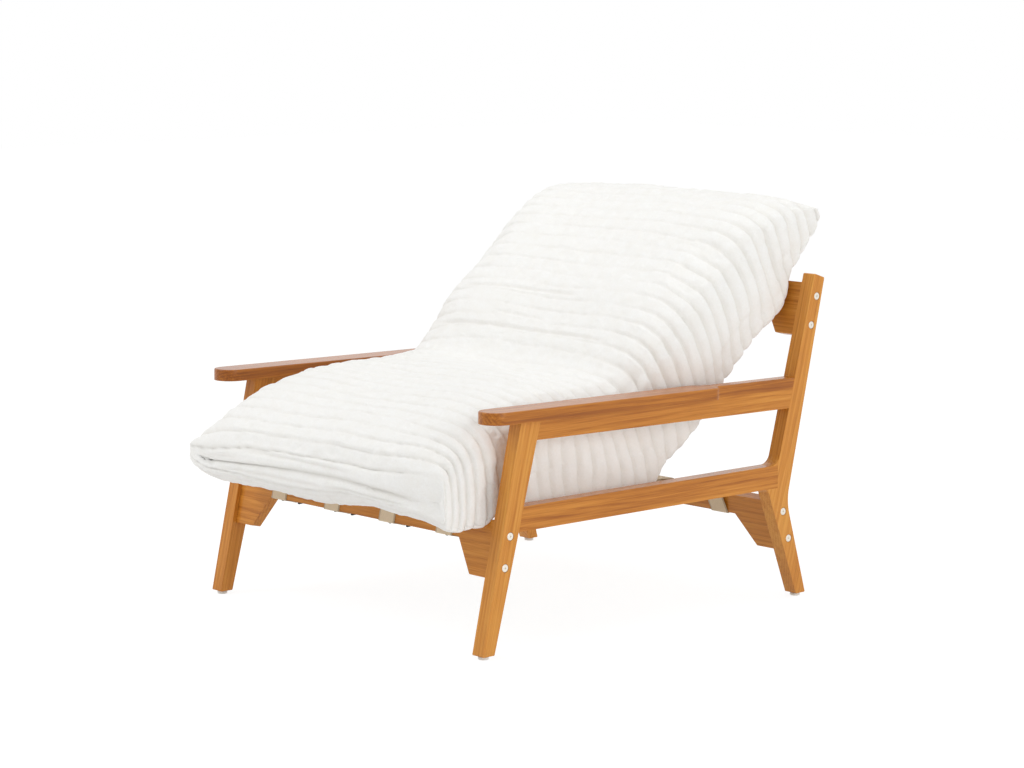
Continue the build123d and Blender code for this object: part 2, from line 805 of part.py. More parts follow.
pieces["cushion_fill"] = cushion_solid(fill_panels, inset=cover_thickness, gap=fill_gap)
with BuildPart() as cover:
    add(cushion_solid(cushion_ribs, crease=rib_depth))
    add(cushion_solid(fill_panels, inset=cover_thickness), mode=Mode.SUBTRACT)
pieces["cushion_cover"] = cover

# The cushion sets the depth of the footprint, so the origin lies in its middle
middle_y = cover.part.bounding_box().center().Y
print(f"origin lies {middle_y:.3f} behind the drawing's own")
for label, piece in pieces.items():
    placed = piece.part.moved(Location((0, -middle_y, 0)))
    placed.label = label
    export_step(placed, f"parts/{label}.step")
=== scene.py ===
"""Looks of a low wooden lounge chair with webbing belts and one long ribbed plush cushion.

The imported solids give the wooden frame, its fasteners, glides and sliders, and keep their
shapes. New pieces stand for the cushion and for the four belts. All lengths are in metres.
"""

import logging
import math
from dataclasses import dataclass
from enum import Enum

import bpy
import numpy as np
from mathutils import Matrix, Vector


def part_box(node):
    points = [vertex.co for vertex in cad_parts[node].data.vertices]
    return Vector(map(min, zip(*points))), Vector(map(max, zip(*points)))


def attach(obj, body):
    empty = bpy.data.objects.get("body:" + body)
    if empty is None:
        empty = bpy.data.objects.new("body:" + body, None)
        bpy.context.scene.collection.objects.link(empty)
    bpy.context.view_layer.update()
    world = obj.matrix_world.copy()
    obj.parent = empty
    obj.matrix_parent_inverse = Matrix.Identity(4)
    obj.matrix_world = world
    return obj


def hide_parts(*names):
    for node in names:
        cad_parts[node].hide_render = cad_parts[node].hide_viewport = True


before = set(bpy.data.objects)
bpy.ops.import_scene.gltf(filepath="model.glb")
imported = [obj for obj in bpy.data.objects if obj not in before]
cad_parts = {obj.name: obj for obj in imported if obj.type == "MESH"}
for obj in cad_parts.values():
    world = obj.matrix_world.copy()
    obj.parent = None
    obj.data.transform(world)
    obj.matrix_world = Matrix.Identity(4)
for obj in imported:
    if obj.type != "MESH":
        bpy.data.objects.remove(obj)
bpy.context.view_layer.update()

LOG = logging.getLogger("lounge_chair")
Colour = tuple[float, float, float, float]
Triple = tuple[float, float, float]
Outline = tuple[tuple[float, float], ...]
Stops = tuple[tuple[float, Colour], ...]
Socket = bpy.types.NodeSocket
SIDES = ("left", "right")
BELT_WIDTH = 0.048

# The outlines below have the front edge of the near front foot at this Y. Everything new moves
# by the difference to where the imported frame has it.
FOOT_FRONT_IN_DRAWING = -0.443
FRAME_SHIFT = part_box("front_leg_right")[0].y - FOOT_FRONT_IN_DRAWING


def colour(red: float, green: float, blue: float) -> Colour:
    """Linear colour of three 0 to 255 screen values.

    Args:
        red: Red as shown on a screen.
        green: Green as shown on a screen.
        blue: Blue as shown on a screen.

    Returns:
        The linear colour with an alpha of one.
    """
    shown = [value / 255 for value in (red, green, blue)]
    linear = [v / 12.92 if v <= 0.04045 else ((v + 0.055) / 1.055) ** 2.4 for v in shown]
    return (linear[0], linear[1], linear[2], 1.0)


WHITE = colour(255, 255, 255)


class NodeRecipe:
    """A node tree and short ways of adding to it."""

    def __init__(self, tree: bpy.types.NodeTree) -> None:
        """Empties the tree and keeps it."""
        self.tree = tree
        self.tree.nodes.clear()

    def node(self, kind: str, inputs: dict | None = None, **settings: object) -> bpy.types.Node:
        """Adds a node.

        Args:
            kind: The node's type without its ShaderNode prefix.
            inputs: Values or sockets for its inputs, by name or number.
            settings: Attributes to set on the node.

        Returns:
            The new node.
        """
        made = self.tree.nodes.new("ShaderNode" + kind)
        for name, value in settings.items():
            setattr(made, name, value)
        for key, value in (inputs or {}).items():
            self.feed(made.inputs[key], value)
        return made

    def feed(self, socket: Socket, value: object) -> None:
        """Fills a socket.

        Args:
            socket: The input.
            value: Another socket to link it to, or a plain value.
        """
        if isinstance(value, bpy.types.NodeSocket):
            self.tree.links.new(value, socket)
        else:
            socket.default_value = value

    def maths(self, operation: str, first: object, second: object = 0.0) -> Socket:
        """Result of a Math node on two values or sockets."""
        return self.node("Math", {0: first, 1: second}, operation=operation).outputs[0]

    def seen(self) -> Socket:
        """One for camera, glossy and transmission rays and zero for others: the largest of three."""
        path = self.node("LightPath").outputs
        seen = self.maths("MAXIMUM", path["Is Camera Ray"], path["Is Glossy Ray"])
        return self.maths("MAXIMUM", seen, path["Is Transmission Ray"])


class Recipe(NodeRecipe):
    """One material's node tree, with its shader and output."""

    def __init__(self, name: str) -> None:
        """Starts a material with a plain shader.

        Args:
            name: The material's name.
        """
        self.material = bpy.data.materials.new(name)
        self.material.use_nodes = True
        super().__init__(self.material.node_tree)
        self.shader = self.node("BsdfPrincipled")
        self.output = self.node("OutputMaterial", {"Surface": self.shader.outputs["BSDF"]})

    def place(self, turn: Triple = (0, 0, 0), shift: Triple = (0, 0, 0), size: Triple = (1, 1, 1)) -> Socket:
        """Object coordinates that are turned and shifted into a grain's own axes, then stretched.

        Args:
            turn: Turn in radians about X, Y and Z.
            shift: Move in metres.
            size: Factor along each turned axis.

        Returns:
            The stretched coordinates.
        """
        coordinates = self.node("TexCoord").outputs["Object"]
        turned = self.node("Mapping", {"Vector": coordinates, "Rotation": turn, "Location": shift})
        return self.node("Mapping", {"Vector": turned.outputs[0], "Scale": size}).outputs[0]

    def noise(self, vector: Socket, scale: float, detail: float = 3.0, roughness: float = 0.5) -> Socket:
        """Smooth noise between zero and one."""
        inputs = {"Vector": vector, "Scale": scale, "Detail": detail, "Roughness": roughness}
        return self.node("TexNoise", inputs).outputs[0]

    def ramp(self, factor: Socket, stops: Stops) -> Socket:
        """Colour ramp.

        Args:
            factor: What the ramp is read at.
            stops: Position and colour of each stop.

        Returns:
            The ramp's colour.
        """
        made = self.node("ValToRGB", {"Fac": factor})
        elements = made.color_ramp.elements
        for index, (position, shade) in enumerate(stops):
            element = elements[index] if index < 2 else elements.new(position)
            element.position = position
            element.color = shade
        return made.outputs[0]

    def between(
        self, value: Socket, low: float, high: float, to_low: float = 0.0, to_high: float = 1.0,
    ) -> Socket:
        """Value carried from one range to another and clamped there."""
        inputs = {"Value": value, "From Min": low, "From Max": high, "To Min": to_low, "To Max": to_high}
        return self.node("MapRange", inputs, clamp=True).outputs[0]

    def blend(self, factor: object, first: object, second: object) -> Socket:
        """Mix of two colours."""
        return self.node("Mix", {0: factor, 6: first, 7: second}, data_type="RGBA").outputs[2]

    def weighed(self, *parts: tuple[Socket, float]) -> Socket:
        """Sum of values, each times its weight.

        Args:
            parts: Socket and weight of each value.

        Returns:
            The sum.
        """
        total, *others = [self.maths("MULTIPLY", socket, weight) for socket, weight in parts]
        for other in others:
            total = self.maths("ADD", total, other)
        return total

    def cords(self, place: Socket, rate: float) -> Socket:
        """Round cords side by side: the absolute sine of a place in metres times a rate."""
        return self.maths("ABSOLUTE", self.maths("SINE", self.maths("MULTIPLY", place, rate)))

    def relief(self, height: Socket, depth: float) -> None:
        """Bump of the given depth in metres."""
        bump = self.node("Bump", {"Height": height, "Distance": depth, "Strength": 1.0})
        self.set(Normal=bump.outputs[0])

    def set(self, **values: object) -> None:
        """Sets the shader's sockets; an underscore in a name stands for a space."""
        for name, value in values.items():
            self.feed(self.shader.inputs[name.replace("_", " ")], value)


class Grain(Enum):
    """Direction that a timber's grain runs in, as the turn that brings it to local Z."""

    ALONG_X = (0.0, math.radians(-90), 0.0)
    ALONG_Y = (math.radians(90), 0.0, 0.0)
    RAKED_LEG = (math.radians(13.5), 0.0, 0.0)
    RAKED_POST = (math.radians(15), 0.0, 0.0)


@dataclass(frozen=True)
class OiledWood:
    """Oiled teak-toned hardwood, solid through the piece, so that cut ends show its rings.

    Grain space has Z along the grain. Rings are the distance from a trunk axis beside the
    piece, bent by slow noise. Fibres and pores are noise that is stretched along Z.
    """

    name: str
    grain: Grain
    seed: float
    warmth: float
    warmth_share: float = 0.06
    trunk_axis: tuple[float, float] = (0.11, 0.045)
    seed_move: Triple = (0.013, -0.009, 0.37)
    slow_stretch: float = 0.16
    fine_stretch: float = 0.022
    ring_spacing: float = 0.0062
    ring_wander: float = 0.030
    relief_depth: float = 0.00016
    tones: Stops = (
        (0.40, colour(218, 153, 66)),
        (0.98, colour(128, 68, 14)),
        (0.56, colour(203, 132, 48)),
        (0.70, colour(182, 111, 33)),
        (0.82, colour(157, 89, 23)),
    )
    pore_tone: Colour = colour(96, 50, 20)

    def axes(self, recipe: Recipe, stretch: float) -> Socket:
        """Grain space beside the trunk's axis, moved on by the seed.

        Args:
            recipe: The material's recipe.
            stretch: Factor along the grain.

        Returns:
            The coordinates.
        """
        starts = (*self.trunk_axis, 0.0)
        shift = tuple(start + move * self.seed for start, move in zip(starts, self.seed_move))
        return recipe.place(self.grain.value, shift, (1.0, 1.0, stretch))

    def late_wood(self, recipe: Recipe, slow: Socket) -> Socket:
        """Dark share of each year's ring: it grows over the year and drops at its end.

        Args:
            recipe: The material's recipe.
            slow: Grain space, squeezed along the grain.

        Returns:
            The share, between zero and one.
        """
        apart = recipe.node("SeparateXYZ", {0: slow}).outputs
        squares = [recipe.maths("MULTIPLY", apart[k], apart[k]) for k in (0, 1)]
        distance = recipe.maths("SQRT", recipe.maths("ADD", *squares))
        wander = recipe.maths("MULTIPLY", recipe.noise(slow, scale=9.0, detail=2.0), self.ring_wander)
        bent = recipe.maths("ADD", distance, wander)
        year = recipe.maths("FRACT", recipe.maths("DIVIDE", bent, self.ring_spacing))
        grown, dropped = recipe.between(year, 0.35, 0.97), recipe.between(year, 1.0, 0.95)
        return recipe.maths("MULTIPLY", grown, dropped)

    def material(self) -> bpy.types.Material:
        """Builds the wood's material.

        Returns:
            The material.
        """
        recipe = Recipe(self.name)
        base, slow, fine = (self.axes(recipe, k) for k in (1.0, self.slow_stretch, self.fine_stretch))
        late = self.late_wood(recipe, slow)
        fibres = recipe.noise(fine, scale=520.0, detail=4.0, roughness=0.62)
        bands = recipe.noise(fine, scale=110.0, detail=3.0, roughness=0.55)
        patches = recipe.noise(slow, scale=16.0, detail=2.0)
        flecks = recipe.noise(base, scale=260.0, detail=2.0)
        pores = recipe.between(recipe.noise(fine, scale=1500.0, detail=1.0), 0.66, 0.76)
        pores = recipe.maths("MULTIPLY", pores, recipe.between(late, 0.0, 0.5, to_low=0.35))
        tone = recipe.weighed((late, 0.09), (bands, 0.42), (fibres, 0.42), (patches, 0.34))
        tone = recipe.maths("ADD", tone, self.warmth_share * (self.warmth - 0.5))
        shade = recipe.ramp(tone, self.tones)
        shade = recipe.blend(recipe.maths("MULTIPLY", pores, 0.42), shade, self.pore_tone)
        gloss = recipe.between(fibres, 0.3, 0.7, to_low=0.40, to_high=0.54)
        recipe.set(Base_Color=shade, Roughness=gloss, Specular_IOR_Level=0.14)
        recipe.set(Coat_Weight=0.85, Coat_IOR=1.3, Coat_Roughness=0.24)
        recipe.relief(recipe.weighed((fibres, 0.5), (flecks, 0.12), (pores, -0.6)), self.relief_depth)
        return recipe.material


@dataclass(frozen=True)
class PlainBeech:
    """Pale beech of the dowels, with short dark rays."""

    name: str = "beech"
    stretch: float = 0.1
    tones: Stops = ((0.3, colour(222, 190, 150)), (0.75, colour(186, 146, 102)))
    relief_depth: float = 0.0001

    def material(self) -> bpy.types.Material:
        """Builds the beech material.

        Returns:
            The material.
        """
        recipe = Recipe(self.name)
        fibres = recipe.noise(recipe.place(size=(1.0, 1.0, self.stretch)), scale=700.0)
        recipe.set(Base_Color=recipe.ramp(fibres, self.tones), Roughness=0.6)
        recipe.relief(fibres, self.relief_depth)
        return recipe.material


class Lustre(Enum):
    """Colour, roughness and metal share of the small fittings, whose materials take these names."""

    BOLT_HEAD = (colour(232, 226, 214), 0.34, 0.85)
    ZINC = (colour(176, 178, 180), 0.42, 1.0)
    GLIDE = (colour(236, 233, 226), 0.55, 0.0)
    SLIDER = (colour(24, 24, 25), 0.24, 0.0)


@dataclass(frozen=True)
class Fitting:
    """Metal or plastic with fine brushing or moulding grain and a few small, duller scuffs."""

    lustre: Lustre
    scuff_share: float = 0.8
    scuff_grey: float = 0.03
    relief_depth: float = 0.00004

    def material(self) -> bpy.types.Material:
        """Builds the fitting's material. A scuff is a share of the colour and a little grey.

        Returns:
            The material.
        """
        tint, rough, metal = self.lustre.value
        recipe = Recipe(self.lustre.name.lower())
        flat = recipe.place()
        grain = recipe.noise(flat, scale=1400.0)
        scuffs = recipe.between(recipe.noise(flat, scale=230.0, detail=4.0, roughness=0.7), 0.58, 0.72)
        worn = (*(min(1.0, part * self.scuff_share + self.scuff_grey) for part in tint[:3]), 1.0)
        gloss = recipe.between(grain, 0.3, 0.7, to_low=rough - 0.06, to_high=rough + 0.08)
        recipe.set(Base_Color=recipe.blend(scuffs, tint, worn), Metallic=metal, Roughness=gloss)
        recipe.relief(grain, self.relief_depth)
        return recipe.material


@dataclass(frozen=True)
class HerringboneWebbing:
    """Undyed cotton webbing: slanted twill ribs that turn back in narrow stripes, and selvedges.

    It reads the belt's own map: U across the width in metres, V along the belt in metres. The
    ribs and the yarns are absolute sines. A rate is in radians a metre.
    """

    name: str = "webbing"
    half_width: float = BELT_WIDTH / 2
    turn_every: float = 0.006
    rib_rate: float = 2100.0
    yarn_rate: float = 3200.0
    selvedge_insets: tuple[float, float] = (0.0042, 0.0034)
    shadow_tone: Colour = colour(214, 188, 154)
    crest_tone: Colour = colour(240, 220, 190)
    cloud_tone: Colour = colour(222, 202, 170)
    selvedge_tone: Colour = colour(180, 156, 124)
    relief_depth: float = 0.00035

    def material(self) -> bpy.types.Material:
        """Builds the webbing's material.

        Returns:
            The material.
        """
        recipe = Recipe(self.name)
        weave = recipe.node("UVMap", uv_map="weave").outputs[0]
        across, along, _ = recipe.node("SeparateXYZ", {0: weave}).outputs
        slant = recipe.maths("ADD", recipe.maths("PINGPONG", across, self.turn_every), along)
        ribs, yarns = recipe.cords(slant, self.rib_rate), recipe.cords(across, self.yarn_rate)
        height = recipe.weighed((ribs, 0.7), (yarns, 0.3))
        inner, outer = (self.half_width - inset for inset in self.selvedge_insets)
        edge = recipe.between(recipe.maths("ABSOLUTE", across), inner, outer)
        clouds = recipe.between(recipe.noise(recipe.place(), scale=60.0, detail=4.0), 0.35, 0.7, to_high=0.35)
        cloth = recipe.blend(recipe.between(height, 0.1, 0.9), self.shadow_tone, self.crest_tone)
        cloth = recipe.blend(clouds, cloth, self.cloud_tone)
        cloth = recipe.blend(recipe.maths("MULTIPLY", edge, 0.75), cloth, self.selvedge_tone)
        recipe.set(Base_Color=cloth, Roughness=0.86, Sheen_Weight=0.12)
        recipe.relief(height, self.relief_depth)
        return recipe.material


@dataclass(frozen=True)
class RibbedPlush:
    """Thick white pile: soft sheen, matted clumps, and a darker, slightly warmer painted shade down in the
    creases and between the tufts.
    """

    name: str = "plush"
    tone: Colour = colour(250, 250, 248)
    clump_tone: Colour = colour(247, 246, 242)
    # Painted shade in the pile's hollows between tufts.
    tuft_hollow_shade_tone: Colour = colour(242, 240, 235)
    # Painted shade down in the creases.
    crease_shade_tone: Colour = colour(226, 220, 210)
    swirl: float = 0.010
    relief_depth: float = 0.0015

    def material(self) -> bpy.types.Material:
        """Builds the plush material. The depth attribute is one in a crease and zero on a crest, and sets how
        much painted shade each point gets.

        Returns:
            The material.
        """
        recipe = Recipe(self.name)
        flat = recipe.place()
        warp = recipe.node("TexNoise", {"Vector": flat, "Scale": 90.0, "Detail": 2.0}).outputs[1]
        swirl = recipe.node("VectorMath", {0: warp, "Scale": self.swirl}, operation="SCALE").outputs[0]
        bent = recipe.node("VectorMath", {0: flat, 1: swirl}, operation="ADD").outputs[0]
        tufts = recipe.noise(bent, scale=260.0, detail=4.0, roughness=0.62)
        hairs = recipe.noise(bent, scale=1500.0, detail=3.0, roughness=0.7)
        clumps = recipe.between(recipe.noise(flat, scale=38.0), 0.35, 0.7)
        depth = recipe.node("Attribute", attribute_name="crease_depth").outputs["Fac"]
        pale = recipe.blend(clumps, self.tone, self.clump_tone)
        # Painted shade: where the tufts' bump is low, the pile gets a darker tint.
        pile_hollow_shade = recipe.between(tufts, 0.35, 0.65, to_low=0.5, to_high=0.0)
        pale = recipe.blend(pile_hollow_shade, pale, self.tuft_hollow_shade_tone)
        # Painted shade: a darker, warmer tint that grows with the crease's depth.
        pale = recipe.blend(recipe.maths("MULTIPLY", depth, 0.45), pale, self.crease_shade_tone)
        recipe.set(Base_Color=pale, Roughness=0.95, Specular_IOR_Level=0.2)
        recipe.set(Sheen_Weight=0.35, Sheen_Roughness=0.6)
        recipe.relief(recipe.weighed((tufts, 0.75), (hairs, 0.25)), self.relief_depth)
        return recipe.material


@dataclass(frozen=True)
class StudioPaper:
    """White seamless paper, which lights the chair as plain paper does.

    Camera, mirror and glass rays see a glow instead, and a grey share that shadows can darken.
    """

    name: str = "studio_paper"
    tone: Colour = colour(250, 250, 250)
    fleck_tone: Colour = colour(252, 252, 252)
    glow: float = 0.88
    shadow_share: float = 0.22

    def material(self) -> bpy.types.Material:
        """Builds the paper's material.

        Returns:
            The material.
        """
        recipe = Recipe(self.name)
        tooth = recipe.between(recipe.noise(recipe.place(), scale=900.0, detail=2.0), 0.3, 0.7)
        recipe.set(Base_Color=recipe.blend(tooth, self.tone, self.fleck_tone), Roughness=0.9)
        grey = (self.shadow_share, self.shadow_share, self.shadow_share, 1.0)
        dim = recipe.node("BsdfDiffuse", {"Color": grey}).outputs[0]
        light = recipe.node("Emission", {"Color": WHITE, "Strength": self.glow}).outputs[0]
        both = recipe.node("AddShader", {0: dim, 1: light}).outputs[0]
        mix = recipe.node("MixShader", {0: recipe.seen(), 1: recipe.shader.outputs[0], 2: both})
        recipe.feed(recipe.output.inputs["Surface"], mix.outputs[0])
        return recipe.material


def travelled(points: np.ndarray) -> np.ndarray:
    """Distance from the first point along the line to each point."""
    return np.concatenate([[0.0], np.cumsum(np.linalg.norm(np.diff(points, axis=0), axis=1))])


def step(value: np.ndarray, middle: float, width: float) -> np.ndarray:
    """Soft step from zero to one: the logistic curve. A negative width makes it fall instead."""
    return 1 / (1 + np.exp(-(value - middle) / width))


def bell(value: np.ndarray, middle: float, width: float, power: float = 2) -> np.ndarray:
    """Bell of height one: e to minus a power of the distance from the middle in widths."""
    return np.exp(-((value - middle) / width) ** power)


def toward(start: np.ndarray | float, end: np.ndarray | float, share: np.ndarray) -> np.ndarray:
    """Value that goes straight from the start to the end as the share grows from zero to one."""
    return start + (end - start) * share


def smooth_line(points: np.ndarray, count: int, samples: int = 4000) -> np.ndarray:
    """Natural cubic spline through points, sampled at equal steps of its length.

    Between two points the curve is a cubic of the chord length travelled, and the second
    derivatives at the points solve one linear system.

    Args:
        points: Array of points, one a row.
        count: Number of points wanted.
        samples: Number of samples that its length is measured over.

    Returns:
        Array of count points on the curve.
    """
    steps = np.linalg.norm(np.diff(points, axis=0), axis=1)
    knots = travelled(points)
    size = len(points)
    system = np.zeros((size, size))
    system[0, 0] = system[-1, -1] = 1.0
    inner = np.arange(1, size - 1)
    system[inner, inner - 1] = steps[:-1]
    system[inner, inner] = 2 * (steps[:-1] + steps[1:])
    system[inner, inner + 1] = steps[1:]
    slopes = np.diff(points, axis=0) / steps[:, None]
    right = np.zeros_like(points)
    right[1:-1] = 6 * np.diff(slopes, axis=0)
    second = np.linalg.solve(system, right)

    def at(travel: np.ndarray) -> np.ndarray:
        """Points of the curve, each on the cubic between the two given points beside it.

        Args:
            travel: Chord length travelled at each point.

        Returns:
            Array of points, one a row.
        """
        piece = np.clip(np.searchsorted(knots, travel, side="right") - 1, 0, size - 2)
        wide = steps[piece][:, None]
        before = (travel - knots[piece])[:, None]
        after = wide - before
        low, high = second[piece], second[piece + 1]
        cubic = (low * after**3 + high * before**3) / (6 * wide)
        start = points[piece] / wide - low * wide / 6
        end = points[piece + 1] / wide - high * wide / 6
        return cubic + start * after + end * before

    dense = at(np.linspace(0, knots[-1], samples))
    passed = travelled(dense)
    wanted = np.linspace(0, passed[-1], count)
    return np.stack([np.interp(wanted, passed, side) for side in dense.T], axis=1)


@dataclass(frozen=True)
class Ripple:
    """Smooth random field: many cosine waves with random directions, lengths and phases.

    They are added up, divided by the square root of their number and multiplied by the height.
    """

    seed: int
    wavelength: float
    height: float = 1.0
    waves: int = 36

    def over(self, places: np.ndarray) -> np.ndarray:
        """Field at an array of places, about its height above and below zero.

        Args:
            places: Array whose last axis is a place.

        Returns:
            The field, with the last axis gone.
        """
        draw = np.random.default_rng(self.seed)
        width = places.shape[-1]
        directions = draw.normal(size=(self.waves, width))
        directions /= np.linalg.norm(directions, axis=1, keepdims=True)
        lengths = self.wavelength * draw.uniform(0.7, 1.5, self.waves)
        phases = draw.uniform(0, 2 * math.pi, self.waves)
        total = np.zeros(places.shape[:-1])
        for direction, length, phase in zip(directions, lengths, phases):
            total += np.cos(places @ direction * (2 * math.pi / length) + phase)
        return self.height * (total / math.sqrt(self.waves))


def surface_normals(grid: np.ndarray) -> np.ndarray:
    """Unit normals: the cross product of the grid's central differences along its two axes.

    Args:
        grid: Points of a surface that is open along axis 0 and closed along axis 1.

    Returns:
        Array of the same size.
    """
    along = np.gradient(grid, axis=0)
    around = (np.roll(grid, -1, axis=1) - np.roll(grid, 1, axis=1)) / 2
    normals = np.cross(along, around)
    length = np.linalg.norm(normals, axis=2, keepdims=True)
    return normals / np.maximum(length, 1e-9)


def mesh_object(
    name: str, points: np.ndarray, faces: list[list[int]], smooth: bool = True,
) -> bpy.types.Object:
    """Object at the origin with the given points and faces.

    Args:
        name: Name of the object and of its mesh.
        points: Array of points.
        faces: Corners of each face.
        smooth: Whether the faces are shaded smooth.

    Returns:
        The new object, in the scene.
    """
    mesh = bpy.data.meshes.new(name)
    mesh.from_pydata(points.reshape(-1, 3).tolist(), [], faces)
    mesh.validate()
    mesh.polygons.foreach_set("use_smooth", np.full(len(mesh.polygons), smooth))
    made = bpy.data.objects.new(name, mesh)
    bpy.context.scene.collection.objects.link(made)
    return made


def dress(piece: bpy.types.Object, material: bpy.types.Material) -> None:
    """Gives a piece one material on all of its slots.

    Args:
        piece: The piece, which gets a slot if it has none.
        material: The material.
    """
    if not piece.material_slots:
        piece.data.materials.append(material)
    for slot in piece.material_slots:
        slot.material = material


@dataclass(frozen=True)
class Places:
    """Where a grid's points lie on the cushion's tube.

    The share of the length has one row for each row of the grid. The shares across and up have
    one column for each column. So each spreads over the whole grid in a sum or a product. The
    tube's length and half width are in metres.
    """

    share: np.ndarray
    across: np.ndarray
    rising: np.ndarray
    length: float
    half_width: float

    @property
    def travel(self) -> np.ndarray:
        """Distance from the seam at the nose."""
        return self.share * self.length

    @property
    def from_seam(self) -> np.ndarray:
        """Distance from the nearer seam."""
        return np.minimum(self.travel, self.length - self.travel)


@dataclass(frozen=True)
class Tube:
    """The cushion's smooth shape: one long tube, flat across and closed along a seam at each end.

    The surface has two parameters. Travel runs from the seam at the nose over the seat and up
    the back to the top seam. Turn runs round the tube, from the right side over the top. At each
    travel the tube's section is a rounded rectangle between the upper and the lower outline.
    """

    upper: Outline = (
        (-0.5530, 0.3190), (-0.5555, 0.3370), (-0.5490, 0.3560), (-0.5290, 0.3740), (-0.5000, 0.3920),
        (-0.4670, 0.4120), (-0.4280, 0.4320), (-0.3860, 0.4470), (-0.3430, 0.4600), (-0.3000, 0.4710),
        (-0.2560, 0.4790), (-0.2120, 0.4830), (-0.1670, 0.4850), (-0.1230, 0.4840), (-0.0780, 0.4830),
        (-0.0340, 0.4840), (0.0060, 0.4930), (0.0340, 0.5210), (0.0610, 0.5510), (0.0890, 0.5810),
        (0.1200, 0.6110), (0.1550, 0.6410), (0.1930, 0.6710), (0.2320, 0.7020), (0.2700, 0.7320),
        (0.3060, 0.7600), (0.3430, 0.7840), (0.3830, 0.8030), (0.4260, 0.8150), (0.4700, 0.8180),
        (0.5080, 0.8130), (0.5340, 0.8010), (0.5430, 0.7840),
    )
    lower: Outline = (
        (-0.5530, 0.3190), (-0.5540, 0.3000), (-0.5440, 0.2810), (-0.5220, 0.2680), (-0.4900, 0.2600),
        (-0.4390, 0.2570), (-0.3880, 0.2575), (-0.3370, 0.2545), (-0.2860, 0.2515), (-0.2340, 0.2480),
        (-0.1830, 0.2450), (-0.1320, 0.2425), (-0.0810, 0.2400), (-0.0300, 0.2370), (0.0220, 0.2350),
        (0.0730, 0.2450), (0.1150, 0.2740), (0.1570, 0.3040), (0.1970, 0.3370), (0.2340, 0.3720),
        (0.2700, 0.4080), (0.3050, 0.4450), (0.3410, 0.4820), (0.3770, 0.5180), (0.4140, 0.5520),
        (0.4490, 0.5890), (0.4660, 0.6360), (0.4960, 0.6770), (0.5240, 0.7180), (0.5420, 0.7610),
        (0.5430, 0.7840),
    )
    length_samples: int = 460
    half_width: float = 0.3690
    waist: float = 0.010
    usual_half_height: float = 0.1
    section_samples: int = 6000

    # Powers of the section's corners: the higher, the squarer. The back's starts at a share of
    # the length. The near side's below grows from the nose's over a length.
    square_above: float = 4.2
    square_back: float = 5.6
    square_below: float = 6.5
    near_square_below: float = 11.0
    near_nose_square: float = 4.6
    back_from: float = 0.50
    back_blend: float = 0.03
    near_nose_over: float = 0.16

    # The nose's seam: share of the half width, how far it is set back and how far it rises.
    nose_seam: tuple[Triple, ...] = (
        (-1.00, 0.018, 0.003), (-0.92, 0.009, -0.004), (-0.81, 0.004, -0.011), (-0.76, 0.002, -0.012),
        (-0.50, 0.0, -0.006), (-0.24, 0.0, -0.001), (0.0, 0.0, 0.001), (0.38, 0.0, -0.002),
        (0.57, 0.004, -0.006), (0.71, 0.021, -0.013), (0.84, 0.042, -0.019), (0.95, 0.067, -0.024),
        (1.00, 0.076, -0.026),
    )
    set_back_over: float = 0.085
    risen_over: float = 0.030

    # Shares of the width at the left and the right end of the nose's seam, and how far along the
    # travel the corners round.
    seam_ends: tuple[float, float] = (0.83, 0.91)
    near_corner: float = 0.060
    other_corners: float = 0.034

    # The near lower edge hangs down before the front cross rail, and less behind it, and bulges
    # beside the front leg. Under the nose one stretch lifts and one sags: the middle, width and
    # share of each.
    rail_at: float = 0.198
    rail_edge: float = 0.006
    hang_grown: float = 0.04
    hang: float = 0.042
    hang_behind: float = 0.015
    hang_behind_over: float = 0.40
    leg_at: float = 0.225
    leg_over: float = 0.065
    leg_bulge: float = 0.013
    sag: float = 0.006
    sag_bells: tuple[Triple, ...] = ((0.40, 0.16, 1.0), (-0.05, 0.30, -1.0))
    sag_at: float = 0.07
    sag_over: float = 0.06

    # Both top corners move forwards, and the near one up and the far one down.
    top_over: float = 0.05
    near_top: float = 0.004
    far_top: float = 0.006

    def outlines(self, count: int) -> tuple[np.ndarray, np.ndarray]:
        """Upper and lower outline in the middle, as Y and Z at equal shares of their lengths.

        Args:
            count: Number of points on each.

        Returns:
            The two arrays of points, one a row.
        """
        shift = np.array([FRAME_SHIFT, 0.0])
        high, low = (smooth_line(np.array(line), count) + shift for line in (self.upper, self.lower))
        return high, low

    def places(self, rows: int, columns: int) -> Places:
        """Places of a grid whose columns take nearly equal steps round the section.

        The shares across and up are a cosine and a sine raised to a power below one, which
        squares a circle's corners. The half below is squarer than the half above.

        Args:
            rows: Rows from seam to seam.
            columns: Columns round the tube.

        Returns:
            The grid's places.
        """

        def shares(turn: np.ndarray) -> tuple[np.ndarray, np.ndarray]:
            """Shares across and up, each a signed power of a cosine or a sine.

            Args:
                turn: Angles round the section.

            Returns:
                The two arrays of shares.
            """
            power = 2 / np.where(np.sin(turn) >= 0, self.square_above, self.square_below)
            across = np.sign(np.cos(turn)) * np.abs(np.cos(turn)) ** power
            return across, np.sign(np.sin(turn)) * np.abs(np.sin(turn)) ** power

        angles = np.linspace(0, 2 * math.pi, self.section_samples, endpoint=False)
        ring = np.stack(shares(angles), axis=1) * (self.half_width, self.usual_half_height)
        passed = travelled(np.vstack([ring, ring[:1]]))
        wanted = np.linspace(0, passed[-1], columns, endpoint=False)
        across, rising = shares(np.interp(wanted, passed, np.append(angles, 2 * math.pi)))
        length = float(travelled(self.outlines(self.length_samples)[0])[-1])
        share = np.linspace(0, 1, rows)[:, None]
        return Places(share, across[None, :], rising[None, :], length, self.half_width)

